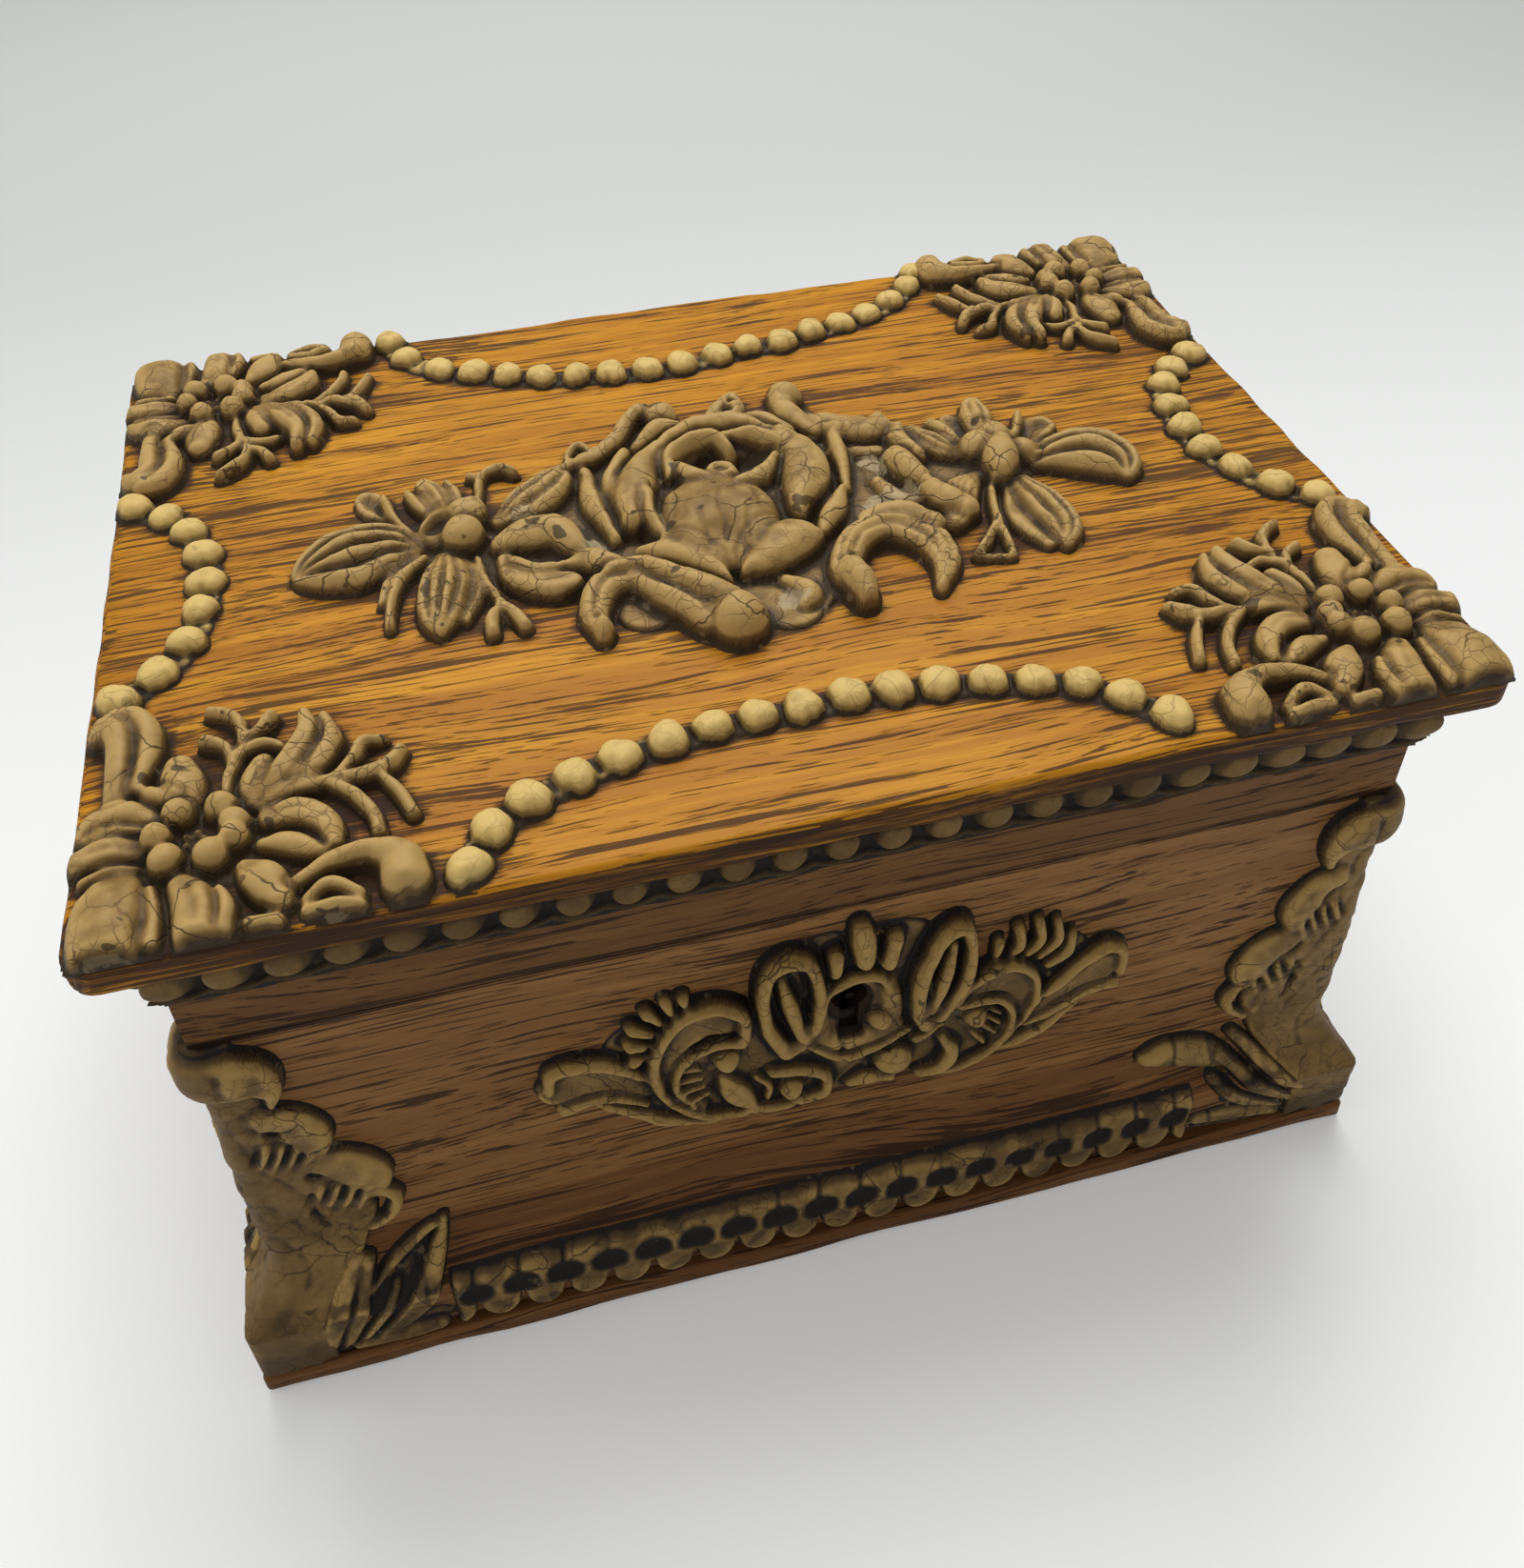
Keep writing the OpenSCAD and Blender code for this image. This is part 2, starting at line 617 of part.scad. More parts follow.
// The lid: a board on a rim of the same outline as the case.
module lid_outline() {
  r = lid_corner_r;
  square([lid_w - 2 * r, lid_d], center = true);
  square([lid_w, lid_d - 2 * r], center = true);
  for (sx = [-1, 1], sy = [-1, 1]) translate([sx * (lid_w / 2 - r), sy * (lid_d / 2 - r)]) circle(r);
}
module lid_board() { color(oak_lid) translate([0, 0, board_z]) linear_extrude(lid_t) lid_outline(); }
module rim_long(k) { on_side(k) translate([-case_w / 2, -case_d / 2, rim_z]) cube([case_w, wall_t, rim_h]); }
module rim_short(k) { on_side(k) translate([-inner_d / 2, -case_w / 2, rim_z]) cube([inner_d, wall_t, rim_h]); }
module lid_rim_front() {
  color(oak) difference() {
    rim_long(FRONT);
    link_box(over);
    link_screw_holes();
  }
}
module lid_rim_back() {
  color(oak) difference() {
    rim_long(BACK);
    for (s = [-1, 1]) hinge_seat(s, rim_z - over);
    hinge_lid_screw_holes();
  }
}
module lid_rim_left() { color(oak) rim_short(LEFT); }
module lid_rim_right() { color(oak) rim_short(RIGHT); }

// The crown moulding fills the angle under the lid board, with a row of rounded lumps.
crown_low = board_z - crown_h;
module crown_section() {
  polygon([[0, crown_low], [crown_lip, crown_low], [crown_out / 2, board_z - crown_h * 0.55],
    [crown_out * 0.7, board_z - crown_h * 0.45], [crown_out, board_z - crown_h * 0.25], [crown_out, board_z], [0, board_z]]);
}
module crown_moulding(k) {
  face = side_off(k);
  count = floor((side_len(k) - crown_pitch) / crown_pitch);
  half = count * crown_pitch / 2;
  color(compo) on_side(k) union() {
    mitred_run(k, lid_out) crown_section();
    for (i = [0 : count]) translate([-half + i * crown_pitch, -face - crown_out * 0.35, board_z - crown_h * 0.6])
      intersection() {
        sphere(crown_lump_r);
        translate([-lid_out, -lid_out, -lid_out]) cube([2 * lid_out, lid_out, 2 * lid_out]);
      }
  }
}
module crown_moulding_front() { crown_moulding(FRONT); }
module crown_moulding_right() { crown_moulding(RIGHT); }
module crown_moulding_back() { crown_moulding(BACK); }
module crown_moulding_left() { crown_moulding(LEFT); }

// A corner ornament, drawn from the front left corner of the lid with x and y inwards: a ring of berries, leaves all
// round it, two branching sprigs and a long leaf with a bulb along each edge.
berry_ring_r = 8;
berry_r = 4.2;
module corner_ornament() {
  middle = [27, 25];
  linear_extrude(sheet_t) union() {
    translate(middle) circle(22);
    translate([3, 4]) square([64, 9]);
    translate([4, 3]) square([9, 58]);
  }
  linear_extrude(leaf_h) union() {
    translate(middle) circle(14);
    for (p = [[225, 31, 19], [180, 24, 15], [270, 22, 15], [128, 26, 15], [355, 30, 16], [55, 42, 17], [318, 22, 9]])
      leaf(middle, p[0], p[1], p[2]);
    leaf([36, 8], 0, 34, 11);
    leaf([8, 36], 90, 28, 11);
  }
  linear_extrude(leaf_h - 1.5) union() {
    for (p = [[92, 20], [110, 18], [75, 16]]) leaf([28, 43], p[0], p[1], 4);
    for (p = [[35, 22], [8, 20], [-22, 18]]) leaf([46, 34], p[0], p[1], 4);
    leaf([30, 30], 95, 24, 5);
    leaf([34, 30], 12, 26, 5);
  }
  for (a = [0 : 60 : 300]) dome(middle + berry_ring_r * [cos(a + 20), sin(a + 20)], berry_r, leaf_h + 3);
  dome([64, 8], 6, leaf_h + 2);
  dome([8, 57], 6, leaf_h + 2);
}
module lid_corner(sx, sy) {
  color(compo) mirror([sx > 0 ? 1 : 0, 0, 0]) mirror([0, sy > 0 ? 1 : 0, 0])
    translate([-lid_w / 2, -lid_d / 2, top_z]) corner_ornament();
}
module lid_corner_front_left() { lid_corner(-1, -1); }
module lid_corner_front_right() { lid_corner(1, -1); }
module lid_corner_back_left() { lid_corner(-1, 1); }
module lid_corner_back_right() { lid_corner(1, 1); }

// A string of beads on a thin strip, in an arc that bows inwards between two corner ornaments.
module bead_string(length, edge, start, inset) {
  half = length / 2 - start;
  sag = inset - bead_r - 1;
  r = (half * half + sag * sag) / (2 * sag);
  swing = asin(min(half / r, 1));
  count = round(2 * r * swing * PI / 180 / bead_pitch);
  color(compo) translate([0, -edge / 2 + inset - r, top_z]) union() {
    rotate([0, 0, 90 - swing]) rotate_extrude(angle = 2 * swing)
      translate([r - string_w / 2, 0]) square([string_w, sheet_t]);
    for (i = [0 : count]) {
      a = 90 - swing + 2 * swing * i / count;
      dome(r * [cos(a), sin(a)], bead_r, bead_h);
    }
  }
}
module bead_string_front() { bead_string(lid_w, lid_d, string_start_long, string_in_front); }
module bead_string_right() { on_side(RIGHT) bead_string(lid_d, lid_w, string_start_short, string_in_side); }
module bead_string_back() { on_side(BACK) bead_string(lid_w, lid_d, string_start_long, string_in_back); }
module bead_string_left() { on_side(LEFT) bead_string(lid_d, lid_w, string_start_short, string_in_side); }

// The centre spray: a rose between two open flowers, with scrolls above and below, on one moulded sheet.
module rose() {
  rotate_extrude() polygon([
    [0, 0], [27, 0], [27, 4], [25.5, 8], [22, rose_h - 1], [17, rose_h],
    [12, rose_h - 1.5], [9, 6.5], [0, 6.5]
  ]);
  dome([0, 0], 6, rose_h - 2);
}

module left_flower() {
  ring([0, 0], 5, 5);
  leaf([0, -4], 180, 38, 19);
  leaf([-3, 0], 262, 34, 15);
  leaf([-3, 3], 100, 24, 12);
  for (p = [[132, 28], [58, 30], [291, 38], [238, 32]]) leaf([0, 0], p[0], p[1], 5);
  leaf([4, 0], 18, 34, 18);
  leaf([4, -2], -22, 34, 20);
}
module right_flower() {
  leaf([2, 0], -6, 36, 20);
  leaf([0, 0], -78, 38, 16);
  leaf([0, 0], -105, 42, 5);
  leaf([2, 4], 78, 24, 13);
  leaf([4, 2], 35, 24, 12);
  for (a = [140 : 22 : 230]) leaf([-2, 0], a, 28, 13);
}
module centre_spray() {
  color(compo) translate([0, 0, top_z]) union() {
    linear_extrude(sheet_t) union() {
      translate([-75, 4]) leaf_outline(150, 52);
      translate([2, -14]) circle(35);
    }
    linear_extrude(leaf_h + 1) union() {
      translate([-70, 5]) left_flower();
      translate([70, 4]) right_flower();
      ring([-30, -38], 10, 8);
      ring([32, -38], 11, 8);
      ring([-16, 31], 9, 6);
      ring([15, 30], 10, 6);
      leaf([-26, -26], -50, 30, 14);
      leaf([-26, -14], -35, 26, 9);
      leaf([0, -20], 12, 18, 10);
      leaf([20, 30], -8, 34, 9);
      leaf([-48, 22], 12, 34, 9);
    }
    translate([-2, 6, 0]) rose();
    linear_extrude(leaf_h + 4) union() {
      translate([-9, -44]) circle(8);
      translate([21, -38]) circle(5);
      translate([70, 1]) circle(6.5);
      translate([76, 9]) circle(5.5);
      translate([-66, 4]) circle(6);
    }
  }
}

base_board();
front_wall();
back_wall();
left_wall();
right_wall();
plinth_front();
plinth_right();
plinth_back();
plinth_left();
base_beading_front();
base_beading_right();
base_beading_back();
base_beading_left();
corner_leaf_front_left();
corner_leaf_front_right();
corner_leaf_back_left();
corner_leaf_back_right();
keyhole_ornament();
lock_case();
lock_cover();
lock_bolt();
lock_screws();
hinge_case_leaf_left();
hinge_case_leaf_right();
hinge_pin_left();
hinge_pin_right();
hinge_case_screws();
base_screws();
lid_board();
lid_rim_front();
lid_rim_back();
lid_rim_left();
lid_rim_right();
crown_moulding_front();
crown_moulding_right();
crown_moulding_back();
crown_moulding_left();
lid_corner_front_left();
lid_corner_front_right();
lid_corner_back_left();
lid_corner_back_right();
bead_string_front();
bead_string_right();
bead_string_back();
bead_string_left();
centre_spray();
link_plate();
link_plate_screws();
hinge_lid_leaf_left();
hinge_lid_leaf_right();
hinge_lid_screws();
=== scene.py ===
"""Keepsake box in varnished oak with moulded composition ornament, lengths in metres.

Sizes are written in millimetres and turned into metres where a mesh is made. The box stands on
z = 0 with its front towards -y. Sections follow the order in which the box is put together.
"""

import bpy
import mathutils
import numpy as np
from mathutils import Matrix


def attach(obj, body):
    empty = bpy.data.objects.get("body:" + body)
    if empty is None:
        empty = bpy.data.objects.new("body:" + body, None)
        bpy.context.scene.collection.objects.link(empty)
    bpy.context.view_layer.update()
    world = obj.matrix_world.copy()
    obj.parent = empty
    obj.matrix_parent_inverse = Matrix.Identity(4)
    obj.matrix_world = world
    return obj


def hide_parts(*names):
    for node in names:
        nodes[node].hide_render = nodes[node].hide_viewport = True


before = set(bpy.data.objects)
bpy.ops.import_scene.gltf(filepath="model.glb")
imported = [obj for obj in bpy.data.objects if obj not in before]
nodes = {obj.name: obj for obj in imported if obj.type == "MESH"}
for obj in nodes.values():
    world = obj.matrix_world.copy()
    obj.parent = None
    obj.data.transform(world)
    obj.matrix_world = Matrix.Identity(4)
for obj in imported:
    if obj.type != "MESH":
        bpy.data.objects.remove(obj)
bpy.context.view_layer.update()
MM = 0.001

# Carcase timber. The box is made of oak boards with open grain, stained and varnished by hand.
# The lid is the palest and glossiest part, the walls are browner and drier.
CASE_W, CASE_D = 280.0, 191.0
BASE_T, PLINTH_OUT = 7.0, 10.0
PLINTH_TURN, COVE_TOP = 26.0, 43.5


def put(tree, kind, inputs=None, **settings):
    """Add a shader node; inputs maps a socket's name or number to a value or another socket."""
    made = tree.nodes.new("ShaderNode" + kind)
    for key, value in settings.items():
        setattr(made, key, value)
    for key, value in (inputs or {}).items():
        if isinstance(value, bpy.types.NodeSocket):
            tree.links.new(value, made.inputs[key])
        else:
            made.inputs[key].default_value = value
    return made


def math(tree, operation, first, second=0.0, clamp=False):
    """One Math node's value."""
    return put(tree, "Math", {0: first, 1: second}, operation=operation, use_clamp=clamp).outputs[0]


def window(tree, value, low, high, start=0.0, end=1.0):
    """The value mapped smoothly from the span low..high to start..end."""
    return put(tree, "MapRange", {"Value": value, "From Min": low, "From Max": high,
                                  "To Min": start, "To Max": end},
               interpolation_type="SMOOTHSTEP").outputs["Result"]


def blend(tree, factor, first, second):
    """Two colours mixed by a factor."""
    return put(tree, "Mix", {0: factor, 6: first, 7: second}, data_type="RGBA").outputs[2]


def noise(tree, vector, scale, detail=4.0, rough=0.55):
    """A noise texture's value on the given coordinates."""
    return put(tree, "TexNoise", {"Vector": vector, "Scale": scale, "Detail": detail,
                                  "Roughness": rough}).outputs[0]


def stretch(tree, vector, sizes):
    """Coordinates multiplied by three sizes."""
    return put(tree, "Mapping", {"Vector": vector, "Scale": sizes}).outputs[0]


def group(name, inputs, outputs):
    """An empty shader node group; inputs and outputs map a socket's name to its kind."""
    made = bpy.data.node_groups.new(name, "ShaderNodeTree")
    for way, sockets in (("INPUT", inputs), ("OUTPUT", outputs)):
        for label, kind in sockets.items():
            made.interface.new_socket(label, in_out=way, socket_type="NodeSocket" + kind)
    return made, made.nodes.new("NodeGroupInput").outputs, made.nodes.new("NodeGroupOutput").inputs


def oak_group():
    """Oak with its grain along the vector's x: growth bands, fibre and open pores. Long and short
    pores are where two drawn-out noises pass a limit, which falls in clusters and under stain;
    the Stain and shade input darkens for real stain and soot and for painted shade alike."""
    tree, given, out = group(
        "oak_grain",
        {"Vector": "Vector", "Pale": "Color", "Deep": "Color", "Pore": "Color",
         "Streaks": "Float", "Stain and shade": "Float"},
        {"Color": "Color", "Dark": "Float", "Height": "Float"})
    bend = noise(tree, stretch(tree, given["Vector"], (5, 14, 14)), 1.0, 2.0)
    lift = math(tree, "MULTIPLY", bend, 0.022)
    across = put(tree, "CombineXYZ", {1: lift, 2: lift}).outputs[0]
    grain = put(tree, "VectorMath", {0: given["Vector"], 1: across}, operation="ADD").outputs[0]
    bands = noise(tree, stretch(tree, grain, (3, 130, 130)), 1.0, 5.0, 0.65)
    fibre = noise(tree, stretch(tree, grain, (26, 1500, 1500)), 1.0, 4.0, 0.65)
    long_pore = noise(tree, stretch(tree, grain, (13, 640, 640)), 1.0, 2.0, 0.5)
    short_pore = noise(tree, stretch(tree, grain, (50, 1250, 1250)), 1.0, 3.0, 0.55)
    flow = noise(tree, stretch(tree, grain, (9, 80, 80)), 1.0, 4.0, 0.6)
    cloud = noise(tree, stretch(tree, given["Vector"], (14, 30, 30)), 1.0, 4.0, 0.6)
    darkening = noise(tree, stretch(tree, grain, (24, 430, 430)), 1.0, 5.0, 0.68)
    colour = blend(tree, window(tree, bands, 0.36, 0.66), given["Deep"], given["Pale"])
    colour = blend(tree, window(tree, fibre, 0.38, 0.62, 0.0, 0.5), colour, given["Deep"])
    colour = blend(tree, window(tree, cloud, 0.5, 0.72, 0.0, 0.45), colour, given["Deep"])
    brown = blend(tree, 0.5, given["Deep"], given["Pore"])
    cluster = math(tree, "MULTIPLY", window(tree, flow, 0.5, 0.68), given["Streaks"])
    colour = blend(tree, math(tree, "MULTIPLY", cluster, 0.28), colour, brown)
    pull = math(tree, "ADD", math(tree, "MULTIPLY", cluster, 0.13),
                math(tree, "MULTIPLY", given["Stain and shade"], 0.12))
    pull = math(tree, "SUBTRACT", pull, math(tree, "MULTIPLY", given["Streaks"], 0.022))
    lines = window(tree, math(tree, "ADD", long_pore, pull), 0.588, 0.622)
    ticks = window(tree, math(tree, "ADD", short_pore, pull), 0.590, 0.630, 0.0, 0.85)
    dark = math(tree, "MAXIMUM", lines, ticks)
    colour = blend(tree, math(tree, "MULTIPLY", dark, 0.82), colour, given["Pore"])
    soot_and_shade = math(tree, "ADD", given["Stain and shade"], math(tree, "MULTIPLY", darkening, 1.3))
    soot_and_shade = window(tree, soot_and_shade, 1.05, 1.6, 0.0, 0.86)
    colour = blend(tree, soot_and_shade, colour, given["Pore"])
    tree.links.new(colour, out["Color"])
    tree.links.new(math(tree, "MAXIMUM", dark, soot_and_shade), out["Dark"])
    height = math(tree, "SUBTRACT", math(tree, "MULTIPLY", fibre, 0.35), dark)
    tree.links.new(height, out["Height"])
    return tree


OAK = oak_group()


def new_finish(name):
    """An empty material, its node tree and its shader."""
    made = bpy.data.materials.new(name)
    made.use_nodes = True
    return made, made.node_tree, made.node_tree.nodes["Principled BSDF"]


def emboss(tree, shader, height, strength, distance):
    """Fine relief in the shader's normal."""
    bump = put(tree, "Bump", {"Height": height, "Strength": strength, "Distance": distance})
    tree.links.new(bump.outputs[0], shader.inputs["Normal"])


def oak_wood(name, pale, deep, pore, streaks=0.35, along="x", gloss=0.45, reads_soot_and_shade=False,
             darkened_zones=(), sizes=(1, 1, 1)):
    """Varnished oak, its grain running along x or y and scaled by sizes. It is dark where the
    mesh's attribute soot_and_shade says so, or inside each ellipsoid of darkened_zones: its middle,
    one over its radii, and how dark. Both carry real soot and grime as well as painted shade."""
    made, tree, shader = new_finish(name)
    spot = put(tree, "TexCoord").outputs["Object"]
    place = spot
    if along == "y":
        part = put(tree, "SeparateXYZ", {0: spot}).outputs
        place = put(tree, "CombineXYZ", {0: part[1], 1: part[0], 2: part[2]}).outputs[0]
    wood = put(tree, "Group", {"Pale": (*pale, 1), "Deep": (*deep, 1), "Pore": (*pore, 1),
                               "Streaks": streaks, "Vector": stretch(tree, place, sizes)},
               node_tree=OAK)
    if reads_soot_and_shade:
        mark = put(tree, "Attribute", attribute_name="soot_and_shade").outputs["Fac"]
        tree.links.new(mark, wood.inputs["Stain and shade"])
    marks = 0.0
    for middle, inverse, amount in darkened_zones:
        off = put(tree, "VectorMath", {0: spot, 1: middle}, operation="SUBTRACT").outputs[0]
        off = put(tree, "VectorMath", {0: stretch(tree, off, inverse)}, operation="LENGTH")
        near = window(tree, off.outputs["Value"], 0.75, 1.15, amount, 0.0)
        marks = math(tree, "MAXIMUM", near, marks)
        tree.links.new(marks, wood.inputs["Stain and shade"])
    tree.links.new(wood.outputs["Color"], shader.inputs["Base Color"])
    rough = math(tree, "ADD", math(tree, "MULTIPLY", wood.outputs["Dark"], 0.2), gloss)
    tree.links.new(rough, shader.inputs["Roughness"])
    shader.inputs["Specular IOR Level"].default_value = 0.1
    emboss(tree, shader, wood.outputs["Height"], 0.4, 0.0004)
    return made


FRONT_PALE, FRONT_DEEP = (0.33, 0.165, 0.055), (0.225, 0.105, 0.033)
FRONT_PORE = (0.022, 0.0125, 0.009)
BASE_PALE, BASE_DEEP = (0.29, 0.140, 0.045), (0.15, 0.063, 0.02)
# SEAM darkens the wood within about a millimetre of the join between case and lid: painted shade in
# that gap.
SEAM = ((0.0, 0.0, 0.1302), (0, 0, 800), 0.7)
wall_oak = {k: oak_wood("case_oak_" + k, FRONT_PALE, FRONT_DEEP, FRONT_PORE, along=k, darkened_zones=[SEAM],
                        sizes=(0.55, 1.2, 1.2)) for k in ("x", "y")}
base_oak = {k: oak_wood("base_oak_" + k, BASE_PALE, BASE_DEEP, FRONT_PORE, along=k, reads_soot_and_shade=True)
            for k in ("x", "y")}


def show(name, data):
    """An object of the scene that holds the given data."""
    made = bpy.data.objects.new(name, data)
    bpy.context.scene.collection.objects.link(made)
    return made


def write_mesh(name, points, quads, caps=(), marks=None):
    """A closed mesh from points in millimetres, quads and end polygons, faces turned outwards.

    The sum over faces of (a x b) . c is six times the volume; where it is negative every face
    is turned round. marks maps an attribute's name to one value a point."""
    points = np.asarray(points, float) * MM
    a, b, c, d = (points[quads[:, i]] for i in range(4))
    volume = (np.cross(a, b) * c).sum() + (np.cross(a, c) * d).sum()
    if volume < 0:
        quads = quads[:, ::-1]
        caps = [cap[::-1] for cap in caps]
    mesh = bpy.data.meshes.new(name)
    mesh.vertices.add(len(points))
    mesh.vertices.foreach_set("co", points.ravel().astype(np.float32))
    corner = np.concatenate([quads.ravel(), *[np.asarray(cap) for cap in caps]]).astype(np.int32)
    length = np.concatenate([np.full(len(quads), 4), [len(cap) for cap in caps]]).astype(np.int32)
    mesh.loops.add(len(corner))
    mesh.loops.foreach_set("vertex_index", corner)
    mesh.polygons.add(len(length))
    first = np.concatenate([[0], np.cumsum(length)[:-1]]).astype(np.int32)
    mesh.polygons.foreach_set("loop_start", first)
    mesh.polygons.foreach_set("use_smooth", np.ones(len(length), bool))
    mesh.update(calc_edges=True)
    mesh.validate()
    for key, values in (marks or {}).items():
        layer = mesh.attributes.new(key, "FLOAT", "POINT")
        layer.data.foreach_set("value", np.asarray(values, np.float32))
    return show(name, mesh)


def seat(piece, body, node, material):
    """The piece rides on its body, stands for its CAD node and takes its finish."""
    piece.data.materials.append(material)
    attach(piece, body)
    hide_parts(node)


def dress(name, material):
    """A CAD node that stays in view takes a finish."""
    for holder in nodes[name].material_slots:
        holder.material = material


def grid_quads(number):
    """The quads between the points of a grid, given the points' numbers."""
    return np.stack([number[:-1, :-1], number[1:, :-1], number[1:, 1:], number[:-1, 1:]],
                    -1).reshape(-1, 4)


def slab(name, low, high, radius, step, wear):
    """A board with rounded arrises: each point p of the box's skin goes to q + r (p - q) / |p - q|,
    where q is p held inside the box less the radius r on each side. wear then moves the points."""
    lines = []
    for lo, hi in zip(low, high):
        edge = radius * np.array([0, 0.25, 0.5, 0.75])
        count = max(2, int(round((hi - lo - 2 * radius) / step)) + 1)
        lines.append(np.concatenate([lo + edge, np.linspace(lo + radius, hi - radius, count),
                                     (hi - edge)[::-1]]))
    points, quads, start = [], [], 0
    for axis in range(3):
        u, v = [k for k in range(3) if k != axis]
        for end in (low[axis], high[axis]):
            a, b = np.meshgrid(lines[u], lines[v], indexing="ij")
            face = np.zeros(a.shape + (3,))
            face[..., u], face[..., v], face[..., axis] = a, b, end
            number = start + np.arange(a.size).reshape(a.shape)
            inward = (end == high[axis]) == (axis == 1)
            quads.append(grid_quads(number)[:, ::-1] if inward else grid_quads(number))
            points.append(face.reshape(-1, 3))
            start += a.size
    points, quads = np.concatenate(points), np.concatenate(quads)
    inner = np.clip(points, low + radius, high - radius)
    out = points - inner
    size = np.linalg.norm(out, axis=1, keepdims=True)
    points = inner + radius * out / np.maximum(size, 1e-9)
    unique, back = np.unique(np.round(points, 5), axis=0, return_inverse=True)
    return write_mesh(name, wear(unique), back.ravel()[quads])


def worn(points, low, high, depth, seed):
    """Arrises worn back towards the middle: each point near an edge moves in by a slow wave."""
    rng = np.random.default_rng(seed)
    wave = np.zeros(len(points))
    for _ in range(9):
        way = rng.normal(size=3) * rng.uniform(0.02, 0.22)
        wave += np.sin(points @ way + rng.uniform(0, 6.28))
    near = np.sort(np.minimum(points - low, high - points), axis=1)
    edge = np.exp(-np.maximum(near[:, 1], 0) / 1.6)
    middle = (low + high) / 2
    pull = (edge * depth * np.clip(0.45 + wave * 0.22, 0, 1.3))[:, None]
    close = np.sign(middle - points) * (np.minimum(points - low, high - points) < 3)
    return points + pull * close


def cove(z):
    """How far the plinth's face stands out from the wall at height z: upright below the turn,
    then a hollow curve P (1 - t)^1.8 that dies into the wall."""
    t = np.clip((np.asarray(z, float) - PLINTH_TURN) / (COVE_TOP - PLINTH_TURN), 0, 1)
    return PLINTH_OUT * (1 - t) ** 1.8


SIDES = {"front": (0, CASE_W / 2, CASE_D / 2), "right": (1, CASE_D / 2, CASE_W / 2),
         "back": (2, CASE_W / 2, CASE_D / 2), "left": (3, CASE_D / 2, CASE_W / 2)}


def turned(points, quarter):
    """Points of the front side carried to another side by quarter turns about z."""
    x, y = points[..., 0], points[..., 1]
    for _ in range(quarter):
        x, y = -y, x
    return np.stack([x, y, points[..., 2]], -1)


def mitred(name, out, z, side, steps, marks=None):
    """A run along one side with mitred ends. out and z hold the section's loop, either one row or
    a row for each step; a point stands at s (half + out) along the side and face + out from the
    middle, with s from -1 to 1."""
    quarter, half, face = SIDES[side]
    s = np.linspace(-1, 1, steps)[:, None]
    out, z = np.broadcast_to(out, (steps, out.shape[-1])), np.broadcast_to(z, (steps, z.shape[-1]))
    points = turned(np.stack([s * (half + out), -(face + out), z], -1), quarter)
    number = np.arange(points[..., 0].size).reshape(points.shape[:2])
    after = np.roll(number, -1, axis=1)
    quads = np.stack([number[:-1], number[1:], after[1:], after[:-1]], -1).reshape(-1, 4)
    return write_mesh(name, points.reshape(-1, 3), quads, [number[0], number[-1][::-1]], marks)


# Base board and plinth. The board is a thin oak slab with softened edges that the carcase is
# screwed to. Four plinth pieces, mitred at the corners, turn up into the walls in a hollow.
low, high = np.array([-152.0, -107.5, 0.0]), np.array([152.0, 107.5, BASE_T])
board = slab("base_board_wood", low, high, 1.4, 6.0, lambda p: worn(p, low, high, 0.7, 11))
seat(board, "case", "base_board", base_oak["x"])

for side in SIDES:
    rise = np.linspace(PLINTH_TURN, COVE_TOP, 18)
    section_out = np.concatenate([[0, 7.4, 8, 8, 9.4, 10], np.full(4, PLINTH_OUT), cove(rise), [0]])
    section_z = np.concatenate([[BASE_T, BASE_T, 7.6, 9.4, 10, 10.6], np.linspace(13, 25, 4), rise,
                                [COVE_TOP]])
    # Darker in a band just above the beading's top edge, as grime in that joint, and in the shadow
    # gap at the foot, below z = 11, as painted shade.
    darkening = np.maximum(0.62 * np.exp(-((section_z - 30.5) / 2.4) ** 2), 0.75 * (section_z < 11))
    run = mitred("plinth_%s_wood" % side, section_out, section_z, side, 60,
                 {"soot_and_shade": np.tile(darkening, 60)})
    along = "x" if side in ("front", "back") else "y"
    seat(run, "case", "plinth_" + side, base_oak[along])

# The front wall is darkened round and through the keyhole's bore, as painted shade so that the hole
# reads dark, more lightly over a wide oval round the keyhole, as grime, and at the seam.
wall_oak["key"] = oak_wood(
    "front_oak", FRONT_PALE, FRONT_DEEP, FRONT_PORE,
    darkened_zones=(((0.004, -0.088, 0.0885), (60, 60, 60), 1.3),
           ((0.004, -0.095, 0.088), (12.5, 12.5, 26), 0.42), SEAM))
for name, along in (("front", "key"), ("back", "x"), ("left", "y"), ("right", "y")):
    dress(name + "_wall", wall_oak[along])
